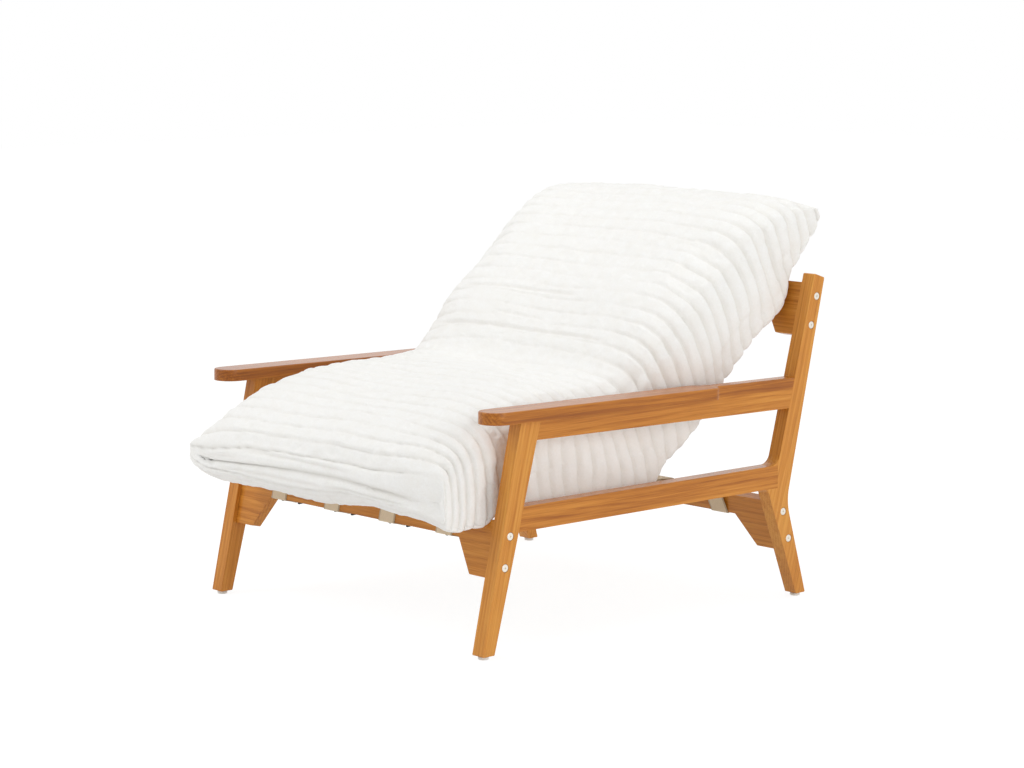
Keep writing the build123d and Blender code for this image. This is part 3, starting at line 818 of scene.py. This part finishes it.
    def points(self, places: Places, shrink: float = 0.0) -> np.ndarray:
        """Points of the tube: the middle of the outlines plus shares of the half width and height.

        Args:
            places: Places of the grid.
            shrink: How far every point is drawn in.

        Returns:
            Array of rows, columns and three coordinates.
        """
        high, low = self.outlines(len(places.share))
        middle, reach = (high + low) / 2, (high - low) / 2
        thick = np.linalg.norm(reach, axis=1, keepdims=True)
        thinner = np.maximum(thick - shrink, thick * 0.2) / np.maximum(thick, 1e-6)
        half = self.half_width * (1 - self.waist * np.sin(np.pi * places.share) ** 2)
        rising = self.squared(places)
        grid = np.empty((*rising.shape, 3))
        grid[..., 0] = (half - shrink) * places.across * self.narrowing(places)
        grid[..., 1:] = middle[:, None] + (reach * thinner)[:, None] * rising[..., None]
        self.press(grid, places, rising)
        return grid

    def squared(self, places: Places) -> np.ndarray:
        """Rising share of every point, squarer on the back than on the seat, and below than above.

        Up and across obey one rule: their magnitudes raised to a power add up to one. Below on
        the near side that power grows from the nose to the seat.

        Args:
            places: Places of the grid.

        Returns:
            Array of rows and columns.
        """
        leaning = step(places.share, self.back_from, self.back_blend)
        above = toward(self.square_above, self.square_back, leaning)
        behind_nose = 1 - bell(places.travel, 0, self.near_nose_over)
        near = toward(self.near_nose_square, self.near_square_below, behind_nose)
        below = np.where(places.across > 0, near, self.square_below)
        power = np.where(places.rising >= 0, above, below)
        return np.sign(places.rising) * np.clip(1 - np.abs(places.across) ** power, 0, 1) ** (1 / power)

    def narrowing(self, places: Places) -> np.ndarray:
        """Share of the width at each point: less near a seam's two ends, which rounds the corners.

        It grows from the seam's own share to one along a quarter of an ellipse, which is longest
        at the nose's near corner. The top seam narrows half as much as the nose's.

        Args:
            places: Places of the grid.

        Returns:
            Factor for the X of each point.
        """
        nose_half = places.travel < places.length / 2
        reach = np.where((places.across > 0) & nose_half, self.near_corner, self.other_corners)
        grown = np.sqrt(1 - (1 - np.clip(places.from_seam / reach, 0, 1)) ** 2)
        end = np.where(places.across < 0, *self.seam_ends)
        end = np.where(nose_half, end, (1 + end) / 2)
        return toward(end, 1, grown)

    def press(self, grid: np.ndarray, places: Places, rising: np.ndarray) -> None:
        """Presses the tube into its used shape: the nose, the underside and the top corners.

        The nose's seam follows its own table. Every other move is a height times a power of the
        share across, or a bell of it, and bells and steps of the travel.

        Args:
            grid: Points, which are moved.
            places: Places of the grid.
            rising: Each point's rising share.
        """
        travel, wide = places.travel, grid[..., 0] / self.half_width
        near, far = np.clip(wide, 0, 1), np.clip(-wide, 0, 1)
        across, back, rise = np.array(self.nose_seam).T
        grid[..., 1] += np.interp(wide, across, back) * bell(travel, 0, self.set_back_over, 1.5)
        grid[..., 2] += np.interp(wide, across, rise) * bell(travel, 0, self.risen_over)
        under = np.clip(-rising * 1.4, 0, 1)
        in_front = step(travel, self.rail_at, -self.rail_edge) * np.clip(travel / self.hang_grown, 0, 1)
        grid[..., 2] -= self.hang * near ** 7 * under * in_front
        behind = (1 - in_front) * bell(travel, 0, self.hang_behind_over, 4)
        grid[..., 2] -= self.hang_behind * near ** 14 * under * behind
        beside_leg = np.clip(1 - rising, 0, 1.3) * bell(travel, self.leg_at, self.leg_over)
        grid[..., 0] += self.leg_bulge * near ** 6 * beside_leg
        sag = sum(share * bell(wide, middle, width) for middle, width, share in self.sag_bells)
        grid[..., 2] += self.sag * sag * under * bell(travel, self.sag_at, self.sag_over)
        near_top, far_top = self.near_top * near ** 6, self.far_top * far ** 5
        fade = bell(places.length - travel, 0, self.top_over)
        grid[..., 1] -= (near_top + far_top) * fade
        grid[..., 2] += (near_top - far_top) * fade


def welded(grid: np.ndarray) -> tuple[np.ndarray, np.ndarray]:
    """Points and faces of a tube's grid whose first and last row are each one seam.

    In a seam's row the column before the side and the one after it fall on one point.

    Args:
        grid: Points of the tube.

    Returns:
        The points, one a row, and the four corners of each face.
    """
    rows, columns = grid.shape[:2]
    index = np.arange(rows * columns).reshape(rows, columns)
    mirror = (-np.arange(columns)) % columns
    points = grid.copy()
    for row in (0, rows - 1):
        index[row] = index[row][np.minimum(np.arange(columns), mirror)]
        points[row] = (grid[row] + grid[row][mirror]) / 2
    near, far = index[:-1], index[1:]
    quads = np.stack([near, far, np.roll(far, -1, 1), np.roll(near, -1, 1)], axis=-1)
    return points.reshape(-1, 3), quads.reshape(-1, 4)


@dataclass(frozen=True)
class Fold:
    """One deeper crease across the cushion: where it runs, how wide it is and how deep."""

    travel: float
    across_from: float
    across_to: float
    depth: float
    above: bool = True
    slant: float = 0.0
    width: float = 0.0045
    end_blend: float = 0.012
    face_blend: float = 1 / 9

    def over(self, places: Places, x: np.ndarray) -> np.ndarray:
        """Depth of the fold: a bell over its travel, times soft ends across and one of the two faces.

        Args:
            places: Places of the grid.
            x: Each point's X in metres.

        Returns:
            Depth in metres at each point.
        """
        line = bell(places.travel - self.travel - self.slant * x, 0, self.width)
        ends = step(x, self.across_from, self.end_blend) * step(x, self.across_to, -self.end_blend)
        face = step(places.rising, 0, self.face_blend if self.above else -self.face_blend)
        return self.depth * line * ends * face


@dataclass(frozen=True)
class Ribs:
    """Round ribs across the cushion, with a crease between each two of them.

    Ribs are counted along the travel, and each whole number is a crease. The count wanders with
    slow random fields, crowds at the nose's far corner, spreads at its near one, and brings the
    creases forwards on their way down the seat's sides. A crease's depth is patchy on the top
    and even on the nose and the sides.
    """

    pitch: float = 0.0340
    depth: float = 0.0080
    side_depth: float = 0.0090
    rise_length: float = 0.12
    wander: tuple[Ripple, ...] = (Ripple(11, 0.42, height=0.10), Ripple(12, 0.11, height=0.05))
    wander_fade: float = 1.2
    near_spread: float = 0.45
    near_spread_over: float = 0.13
    far_crowding: float = 1.3
    far_crowding_over: float = 0.045
    sweep: tuple[float, float] = (0.42, -0.35)
    side_from: float = 0.52
    side_power: float = 1.5
    side_skew: float = 0.6
    nose_over: float = 0.075
    back_from: float = 0.46
    back_blend: float = 0.03
    bulge_powers: tuple[float, float] = (4.0, 0.65)
    patches: Ripple = Ripple(21, 0.30, height=1.6)
    patch_stretch: float = 3.5
    patch_depths: tuple[float, float] = (0.24, 0.42)
    back_fade: float = 0.45
    nose_side_fade: float = 0.5
    touching_fade: float = 0.65

    def round_trip(self, places: Places, x: np.ndarray) -> np.ndarray:
        """Travel, X and height along the section in metres, which the slow random fields read.

        Args:
            places: Places of the grid.
            x: Each point's X.

        Returns:
            Array of rows, columns and three coordinates.
        """
        spread = np.broadcast_arrays(places.travel, x, places.rising * self.rise_length)
        return np.stack(spread, axis=-1)

    def bulge(self, places: Places, x: np.ndarray, side: np.ndarray, nose: np.ndarray) -> np.ndarray:
        """Height share of the ribs: one minus a power of the distance from each rib's middle.

        Args:
            places: Places of the grid.
            x: Each point's X.
            side: One on the two sides and zero between them.
            nose: One on the nose and zero behind it.

        Returns:
            One on a crest and zero in a crease.
        """
        share, travel, rising = places.share, places.travel, places.rising
        far = np.clip(-x / places.half_width, 0, 1)
        ribs = round(places.length / self.pitch)
        wander = sum(ripple.over(self.round_trip(places, x)) for ripple in self.wander)
        fade = np.clip(np.minimum(share, 1 - share) * ribs / self.wander_fade, 0, 1)
        spread = self.near_spread * side * (x > 0) * bell(travel, 0, self.near_spread_over, 4)
        pinch = self.far_crowding * far ** 2 * bell(travel, 0, self.far_crowding_over) - spread
        seat = 1 - step(share, self.back_from, self.back_blend)
        sweep = (self.sweep[0] * (1 - rising) + self.sweep[1] * (1 - rising ** 2)) * seat * (1 - nose)
        count = share * ribs * (1 + pinch) + wander * fade + sweep
        phase = (count - np.floor(count)) ** (1 + self.side_skew * side)
        inner, outer = self.bulge_powers
        return (1 - np.abs(2 * phase - 1) ** inner) ** outer

    def hollows(self, places: Places, x: np.ndarray, touching: np.ndarray) -> np.ndarray:
        """Depth below the crests: each crease's own depth times one less the ribs' height share.

        Args:
            places: Places of the grid.
            x: Each point's X.
            touching: One where the cushion touches the frame, where creases are shallow.

        Returns:
            Depth in metres at each point.
        """
        side = np.clip((np.abs(places.across) - self.side_from) / (1 - self.side_from), 0, 1)
        side = side ** self.side_power
        nose = bell(places.travel, 0, self.nose_over, 4)
        leaning = step(places.share, self.back_from, self.back_blend)
        stretched = self.round_trip(places, x) * (self.patch_stretch, 1.0, 1.0)
        patchy = (1 + np.tanh(self.patches.over(stretched))) / 2
        least, more = self.patch_depths
        depth = self.depth * (least + more * patchy) * (1 - self.back_fade * leaning)
        depth = toward(depth, self.depth, nose)
        depth = toward(depth, self.side_depth, side * (1 - self.nose_side_fade * nose))
        depth = depth * (1 - self.touching_fade * touching)
        return depth * (1 - self.bulge(places, x, side, nose))


@dataclass(frozen=True)
class Cushion:
    """One long ribbed pillow of plush, swollen by a cloth simulation."""

    tube: Tube = Tube()
    ribs: Ribs = Ribs()
    folds: tuple[Fold, ...] = (
        Fold(travel=0.690, across_from=-0.270, across_to=0.215, depth=0.0045),
        Fold(travel=0.795, across_from=-0.270, across_to=0.060, depth=0.0035, slant=0.01),
        Fold(travel=0.722, across_from=-0.110, across_to=0.020, depth=0.0030, slant=-0.02),
        Fold(travel=0.015, across_from=-0.300, across_to=-0.190, depth=0.0050, slant=0.02),
        Fold(travel=0.021, across_from=-0.160, across_to=0.135, depth=0.0050, slant=-0.02),
        Fold(travel=0.018, across_from=-0.235, across_to=0.060, depth=0.0050, above=False, slant=0.02),
        Fold(travel=0.024, across_from=0.090, across_to=0.300, depth=0.0050, above=False, slant=-0.03),
    )
    fine_steps: tuple[int, int] = (460, 600)
    coarse_steps: tuple[int, int] = (150, 200)

    # Shares of the length where the cushion starts and stops lying on the belts, and where it
    # leans on the top rail, each with the share that it blends over.
    belts_from: tuple[float, float] = (0.12, 0.012)
    belts_to: tuple[float, float] = (0.43, -0.02)
    top_rail: tuple[float, float] = (0.84, 0.06)

    # Creases flatten at the seams' four ears and on the near corner of the nose.
    ear_over: float = 0.022
    ear_from: float = 0.86
    ear_blend: float = 0.12
    ear_fade: float = 0.92
    corner_from: float = 0.255
    corner_blend: float = 0.07
    corner_over: float = 0.080
    corner_fade: float = 0.75

    # The pile's tufts, the slack of the cover, how far all of it is set in and how far any of it
    # may stand up, and the X that the left and the right side stay within.
    pile: tuple[Ripple, ...] = (
        Ripple(31, 0.030, height=0.0007, waves=60), Ripple(32, 0.013, height=0.0003, waves=60),
    )
    slack: Ripple = Ripple(41, 0.16, height=0.004)
    slack_stretch: Triple = (1.0, 0.5, 1.0)
    set_in: float = 0.001
    stand_up: float = 0.002
    left_limit: float = -0.3725
    right_limit: float = 0.3850

    # The cloth simulation blows up a tube that is a little smaller.
    swell: float = 0.014
    swell_share: float = 0.6
    sideways_share: float = 0.5
    swell_from_seam: float = 0.045
    shrink: float = 0.010
    frames: int = 20
    cloth: tuple[tuple[str, float], ...] = (
        ("quality", 6), ("mass", 0.5), ("tension_stiffness", 18), ("compression_stiffness", 18),
        ("shear_stiffness", 6), ("bending_stiffness", 0.6), ("use_pressure", True),
        ("uniform_pressure_force", 4.0), ("shrink_min", -0.02),
    )

    def contact(self, places: Places) -> np.ndarray:
        """One where the underside lies on the belts or leans on the top rail, zero elsewhere.

        Args:
            places: Places of the grid.

        Returns:
            Array of rows and columns: the share of the underside times that of the travel.
        """
        under = np.clip(-places.rising * 1.6 - 0.3, 0, 1)
        seat = step(places.share, *self.belts_to) * step(places.share, *self.belts_from)
        return under * np.clip(seat + bell(places.share, *self.top_rail), 0, 1)

    def inflate(self) -> np.ndarray:
        """Swells a slightly smaller tube with cloth simulation and gives how far each point moved.

        Returns:
            Coarse grid of moves, those outwards or inwards held within the swell.
        """
        start = self.tube.points(self.tube.places(*self.coarse_steps), self.shrink)
        points, faces = welded(start)
        pad = mesh_object("swelling_pad", points, faces.tolist())
        modifier = pad.modifiers.new("swell", "CLOTH")
        for name, value in self.cloth:
            setattr(modifier.settings, name, value)
        modifier.settings.effector_weights.gravity = 0.0
        modifier.point_cache.frame_start = 1
        modifier.point_cache.frame_end = self.frames
        scene = bpy.context.scene
        for frame_number in range(1, self.frames + 1):
            scene.frame_set(frame_number)
        moved = pad.evaluated_get(bpy.context.evaluated_depsgraph_get()).data
        after = np.empty(len(moved.vertices) * 3)
        moved.vertices.foreach_get("co", after)
        scene.frame_set(1)
        bpy.data.objects.remove(pad, do_unlink=True)
        moves = after.reshape(start.shape) - points.reshape(start.shape)
        normals = surface_normals(start)
        outward = np.sum(moves * normals, axis=2)
        LOG.info("swell %.4f to %.4f", outward.min(), outward.max())
        sideways = moves - outward[..., None] * normals
        allowed = np.clip(outward, -self.swell, self.swell)
        return sideways * self.sideways_share + allowed[..., None] * normals

    def spread(self, moves: np.ndarray, normals: np.ndarray, touching: np.ndarray) -> np.ndarray:
        """Coarse moves carried to the fine grid by straight-line steps, less their own mean lift.

        Args:
            moves: Coarse grid of moves.
            normals: The fine grid's unit normals.
            touching: One where the cushion touches the frame.

        Returns:
            Fine grid of moves, which are nothing where it touches.
        """
        rows = np.linspace(0, moves.shape[0] - 1, normals.shape[0])
        columns = np.linspace(0, moves.shape[1], normals.shape[1], endpoint=False)
        row, column = np.floor(rows).astype(int), np.floor(columns).astype(int)
        next_row = np.minimum(row + 1, moves.shape[0] - 1)
        next_column = (column + 1) % moves.shape[1]
        down = (rows - row)[:, None, None]
        right = (columns - column)[None, :, None]
        first = toward(moves[row][:, column], moves[row][:, next_column], right)
        second = toward(moves[next_row][:, column], moves[next_row][:, next_column], right)
        fine = toward(first, second, down)
        fine -= np.sum(fine * normals, axis=2).mean() * normals
        return fine * (1 - touching)[..., None] * self.swell_share

    def build(self) -> bpy.types.Object:
        """Creases, tufts, slack and swelling over the smooth tube, as one closed mesh.

        Each point moves along the tube's normal by minus the depth of its crease, plus the random
        fields of the pile and the slack, and then by the swelling.

        Returns:
            The cushion's object.
        """
        places = self.tube.places(*self.fine_steps)
        grid = self.tube.points(places)
        x, across, travel = grid[..., 0], places.across, places.travel
        touching = self.contact(places)
        hollow = self.ribs.hollows(places, x, touching) + sum(fold.over(places, x) for fold in self.folds)
        ears = np.clip((np.abs(across) - self.ear_from) / self.ear_blend, 0, 1)
        ears = bell(places.from_seam, 0, self.ear_over) * ears
        corner = np.clip((x - self.corner_from) / self.corner_blend, 0, 1)
        corner = corner * bell(travel, 0, self.corner_over, 4)
        hollow = hollow * (1 - self.ear_fade * ears) * (1 - self.corner_fade * corner)
        rough = sum(tufts.over(grid) for tufts in self.pile)
        rough = rough + self.slack.over(self.ribs.round_trip(places, x) * self.slack_stretch)
        lift = rough * (1 - touching) * (1 - ears) - hollow - self.set_in
        lift = np.minimum(lift, self.stand_up * (1 - touching))
        normals = surface_normals(grid)
        points = grid + normals * lift[..., None]
        loose = 1 - bell(places.from_seam, 0, self.swell_from_seam)
        points += self.spread(self.inflate(), normals, touching) * loose[..., None]
        points[..., 0] = np.clip(points[..., 0], self.left_limit, self.right_limit)
        flat, faces = welded(points)
        piece = mesh_object("ribbed_cushion", flat, faces.tolist())
        # The crease depth also sets the plush's painted shade in the creases.
        depth = np.clip(hollow / self.ribs.side_depth, 0, 1)
        layer = piece.data.attributes.new("crease_depth", "FLOAT", "POINT")
        layer.data.foreach_set("value", depth.ravel().astype(np.float32))
        return piece

    def assemble(self) -> None:
        """Builds and dresses the cushion, and puts it on its body in place of its two solids."""
        piece = self.build()
        dress(piece, RibbedPlush().material())
        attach(piece, "cushion")
        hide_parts("cushion_cover", "cushion_fill")
        LOG.info("%s: %d faces", piece.name, len(piece.data.polygons))


@dataclass
class SeatBelts:
    """Four webbing belts, each one strap round both cross rails, sewn to itself behind each rail.

    A belt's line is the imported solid's middle line: straight runs and an arc round each corner.
    """

    corners: Outline = (
        (-0.13098, 0.23751), (-0.19037, 0.21974), (-0.36637, 0.20774), (-0.38784, 0.21254),
        (-0.37846, 0.25450), (-0.35698, 0.24970), (0.38345, 0.20975), (0.39566, 0.16852),
        (0.37457, 0.16227), (0.34945, 0.21158),
    )
    stand_off: float = 0.0013
    thickness: float = 0.0020
    width: float = BELT_WIDTH
    sewn_length: float = 0.028
    tail_start: float = 0.0030
    tail_length: float = 0.166
    centres: tuple[float, ...] = (-0.262, -0.092, 0.078, 0.248)
    longest_step: float = 0.012
    arc_points: int = 5
    edge_insets: Triple = (0.0, 0.0005, 0.004)
    edge_heights: tuple[float, ...] = (0.0, 0.8, 1.0, 0.94, 1.0, 0.8, 0.0)
    wander: float = 0.0006
    wander_rate: float = 9.0
    wander_apart: float = 40.0

    def route(self) -> np.ndarray:
        """Middle line of a belt as Y and Z, with arcs of the stand-off round the corners.

        An arc turns from the outward normal of the run before its corner to that of the run
        after. A corner that turns the other way gets the one point where both offset runs meet.
        Each end lies flat under the top run, where it is sewn.

        Returns:
            Array of points, one a row.
        """
        corners = np.array(self.corners)
        top = corners[6] - corners[5]
        sewn = top / np.linalg.norm(top) * self.sewn_length
        corners = np.vstack([corners[0] + sewn, corners, corners[-1] - sewn])
        runs = np.diff(corners, axis=0)
        runs /= np.linalg.norm(runs, axis=1, keepdims=True)
        outward = np.stack([-runs[:, 1], runs[:, 0]], axis=1)
        parts = [corners[:1] + self.stand_off * outward[:1]]
        for corner, before, after in zip(corners[1:-1], outward[:-1], outward[1:]):
            turn = math.atan2(before[0] * after[1] - before[1] * after[0], float(before @ after))
            if turn > 0:
                parts.append((corner + self.stand_off * (before + after) / (1 + before @ after))[None, :])
                continue
            angles = math.atan2(before[1], before[0]) + turn * np.linspace(0, 1, self.arc_points)
            parts.append(corner + self.stand_off * np.stack([np.cos(angles), np.sin(angles)], axis=1))
        parts.append(corners[-1:] + self.stand_off * outward[-1:])
        return self.subdivided(np.concatenate(parts))

    def subdivided(self, line: np.ndarray) -> np.ndarray:
        """Line with points added so that no step is too long.

        Args:
            line: Array of points, one a row.

        Returns:
            The longer array.
        """
        lengths = np.linalg.norm(np.diff(line, axis=0), axis=1)
        counts = np.maximum(1, np.ceil(lengths / self.longest_step)).astype(int)
        shares = np.concatenate([np.arange(n) / n for n in counts])
        first = np.repeat(line[:-1], counts, axis=0)
        run = np.repeat(np.diff(line, axis=0), counts, axis=0)
        return np.vstack([first + run * shares[:, None], line[-1:]])

    def strap(self, name: str, line: np.ndarray, centre: float) -> bpy.types.Object:
        """Flat strap along a line in the YZ plane, with rounded selvedges and a slight wander.

        The section is a flat oblong whose corners are drawn in, carried along the line's normals.

        Args:
            name: The piece's name.
            line: Y and Z of the middle line.
            centre: X of the belt's middle.

        Returns:
            The strap's object with its weave map.
        """
        ahead = np.gradient(line, axis=0)
        ahead /= np.linalg.norm(ahead, axis=1, keepdims=True)
        normal = np.stack([-ahead[:, 1], ahead[:, 0]], axis=1)
        left = np.array(self.edge_insets) - self.width / 2
        across = np.concatenate([left, [0.0], -left[::-1]])
        above = np.array(self.edge_heights) * (self.thickness / 2)
        across = np.concatenate([across, across[-2:0:-1]])
        above = np.concatenate([above, -above[-2:0:-1]])
        travel = travelled(line)
        wander = self.wander * np.sin(travel * self.wander_rate + centre * self.wander_apart)
        points = np.empty((len(line), len(across), 3))
        points[..., 0] = centre + across[None, :] + wander[:, None]
        points[..., 1:] = line[:, None, :] + normal[:, None, :] * above[None, :, None]
        index = np.arange(len(line) * len(across)).reshape(len(line), len(across))
        before, after = index[:-1], index[1:]
        quads = np.stack([before, np.roll(before, -1, 1), np.roll(after, -1, 1), after], axis=-1)
        caps = [index[0][::-1].tolist(), index[-1].tolist()]
        piece = mesh_object(name, points, quads.reshape(-1, 4).tolist() + caps)
        weave = piece.data.uv_layers.new(name="weave")
        corners = np.empty(len(piece.data.loops), dtype=np.int32)
        piece.data.loops.foreach_get("vertex_index", corners)
        row, column = corners // len(across), corners % len(across)
        places = np.stack([across[column], travel[row]], axis=1)
        weave.data.foreach_set("uv", places.ravel().astype(np.float32))
        LOG.info("%s: %d rows", name, len(line))
        return piece

    def assemble(self) -> None:
        """Builds each belt with its tail, and puts it in place of its solid."""
        material = HerringboneWebbing().material()
        shift = np.array([FRAME_SHIFT, 0.0])
        end, start = np.array(self.corners[1]), np.array(self.corners[2])
        run = (end - start) / np.linalg.norm(end - start)
        below = np.array([run[1], -run[0]])
        from_slider = start + run * self.tail_start + below * (self.stand_off + self.thickness)
        tail = self.subdivided(np.stack([from_slider, from_slider + run * self.tail_length])) + shift
        for number, centre in enumerate(self.centres, start=1):
            belt = self.strap(f"webbing_belt_{number}", self.route()[::-1] + shift, centre)
            end_piece = self.strap(f"webbing_tail_{number}", tail, centre)
            for piece in (belt, end_piece):
                dress(piece, material)
                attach(piece, "frame")
            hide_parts(f"seat_belt_{number}")


@dataclass
class SideFrames:
    """Two side frames of flat timbers, whose solids stay and get wood with its own grain."""

    edge_round: float = 0.0011
    weld_distance: float = 0.00002
    sharp_angle: float = math.radians(40)
    timbers: tuple[tuple[str, Grain], ...] = (
        ("front_leg", Grain.RAKED_LEG),
        ("rear_post", Grain.RAKED_POST),
        ("lower_rail", Grain.ALONG_Y),
        ("upper_rail", Grain.ALONG_Y),
        ("armrest", Grain.ALONG_Y),
    )
    cross_rails: tuple[str, ...] = ("front_cross_rail", "rear_cross_rail", "top_cross_rail")
    tone_shifts: tuple[tuple[str, float], ...] = (("armrest", 2.8), ("leg", -0.9), ("post", -1.9))
    tone_turn: float = 2.3

    def ease(self, node: bpy.types.Object) -> None:
        """Rounds a timber's sharp edges a little, with modifiers over its unchanged mesh.

        Args:
            node: The timber.
        """
        weld = node.modifiers.new("join", "WELD")
        weld.merge_threshold = self.weld_distance
        bevel = node.modifiers.new("ease", "BEVEL")
        bevel.width = self.edge_round
        bevel.segments = 2
        bevel.limit_method = "ANGLE"
        bevel.angle_limit = self.sharp_angle
        bevel.use_clamp_overlap = True
        bevel.harden_normals = True

    def finish(self, name: str, grain: Grain, seed: float) -> None:
        """Gives one timber its wood and its eased edges.

        Args:
            name: The timber's node.
            grain: Direction of its grain.
            seed: What sets its grain and its tone apart from the others'.
        """
        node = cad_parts[name]
        shift = next((amount for word, amount in self.tone_shifts if word in name), 0.0)
        warmth = 0.5 + 0.5 * math.sin(seed * self.tone_turn) + shift
        dress(node, OiledWood(f"wood_{name}", grain, seed, warmth).material())
        self.ease(node)
        LOG.info("%s: wood", name)

    def assemble(self) -> None:
        """Dresses every timber of the frame."""
        pieces = [(f"{timber}_{side}", grain) for timber, grain in self.timbers for side in SIDES]
        pieces += [(rail, Grain.ALONG_X) for rail in self.cross_rails]
        for seed, (name, grain) in enumerate(pieces, start=1):
            self.finish(name, grain, float(seed))


@dataclass
class Fittings:
    """Bolts, nuts, dowels, screws, glides and sliders, whose solids stay and get their finishes."""

    def assemble(self) -> None:
        """Gives each fitting the first finish whose words are in its name."""
        bolt, zinc, glide, slider = (Fitting(lustre).material() for lustre in Lustre)
        finishes = (
            ("bolts", bolt), ("barrel_nuts", zinc), ("armrest_screws", zinc), ("glide_pins", zinc),
            ("glide", glide), ("belt_slider", slider), ("dowels", PlainBeech().material()),
        )
        for name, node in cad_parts.items():
            material = next((finish for words, finish in finishes if words in name), None)
            if material is not None:
                dress(node, material)
                LOG.info("%s: %s", name, material.name)


@dataclass(frozen=True)
class Lamp:
    """A square soft lamp that faces the chair."""

    name: str
    place: Triple
    size: float
    watts: float
    aim: Triple = (0.0, 0.0, 0.35)

    def hang(self) -> None:
        """Adds the lamp to the scene."""
        data = bpy.data.lights.new(self.name, "AREA")
        data.shape = "SQUARE"
        data.size = self.size
        data.energy = self.watts
        lamp = bpy.data.objects.new(self.name, data)
        lamp.location = self.place
        lamp.rotation_mode = "QUATERNION"
        lamp.rotation_quaternion = (Vector(self.aim) - Vector(self.place)).to_track_quat("-Z", "Y")
        bpy.context.scene.collection.objects.link(lamp)


@dataclass
class Studio:
    """Pale floor, soft lights and a camera at the photograph's angle."""

    azimuth: float = math.radians(47.634)
    elevation: float = math.radians(7.902)
    camera_place: Triple = (4.455254, -4.050162, 1.273857)
    focal_pixels: float = 2970.604
    picture_width: float = 1024.0
    sensor: float = 36.0
    clip: tuple[float, float] = (0.1, 60.0)
    world_light: float = 0.60
    floor_reach: float = 14.0
    lamps: tuple[Lamp, ...] = (
        Lamp("key", (-1.8, -3.2, 3.4), 2.2, 55.0),
        Lamp("top", (-0.2, 0.4, 3.8), 2.6, 34.0),
        Lamp("near_side", (4.2, 0.4, 1.2), 2.4, 44.0),
    )

    def camera(self) -> None:
        """Places the camera, turned so that its back points the way it looks from."""
        back = Vector((math.sin(self.azimuth) * math.cos(self.elevation),
                       -math.cos(self.azimuth) * math.cos(self.elevation), math.sin(self.elevation)))
        right = Vector((math.cos(self.azimuth), math.sin(self.azimuth), 0.0))
        rise = back.cross(right)
        data = bpy.data.cameras.new("camera")
        data.sensor_width = self.sensor
        data.lens = self.focal_pixels * self.sensor / self.picture_width
        data.clip_start, data.clip_end = self.clip
        lens = bpy.data.objects.new("camera", data)
        x, y, z = self.camera_place
        turn = Matrix((right, rise, back)).transposed().to_4x4()
        lens.matrix_world = Matrix.Translation((x, y + FRAME_SHIFT, z)) @ turn
        bpy.context.scene.collection.objects.link(lens)
        bpy.context.scene.camera = lens

    def world(self) -> None:
        """Even pale surroundings, which the camera and reflections see as white."""
        world = bpy.data.worlds.new("studio")
        world.use_nodes = True
        recipe = NodeRecipe(world.node_tree)
        lit = recipe.node("Background", {"Color": WHITE, "Strength": self.world_light}).outputs[0]
        white = recipe.node("Background", {"Color": WHITE, "Strength": 1.0}).outputs[0]
        mix = recipe.node("MixShader", {0: recipe.seen(), 1: lit, 2: white}).outputs[0]
        recipe.node("OutputWorld", {"Surface": mix})
        bpy.context.scene.world = world

    def floor(self) -> None:
        """Large pale sheet under the chair."""
        corners = self.floor_reach * np.array([[-1, -1, 0], [1, -1, 0], [1, 1, 0], [-1, 1, 0]])
        sheet = mesh_object("floor", corners, [[0, 1, 2, 3]], smooth=False)
        dress(sheet, StudioPaper().material())

    def assemble(self) -> None:
        """Builds the studio."""
        self.camera()
        self.world()
        self.floor()
        for lamp in self.lamps:
            lamp.hang()
        bpy.context.scene.view_settings.view_transform = "Standard"


def main() -> None:
    """Builds and dresses the chair in order."""
    logging.basicConfig(level=logging.INFO, format="%(name)s: %(message)s")
    for part in (SideFrames(), Fittings(), SeatBelts(), Cushion(), Studio()):
        part.assemble()
        LOG.info("%s done", type(part).__name__)


if __name__ == "__main__":
    main()
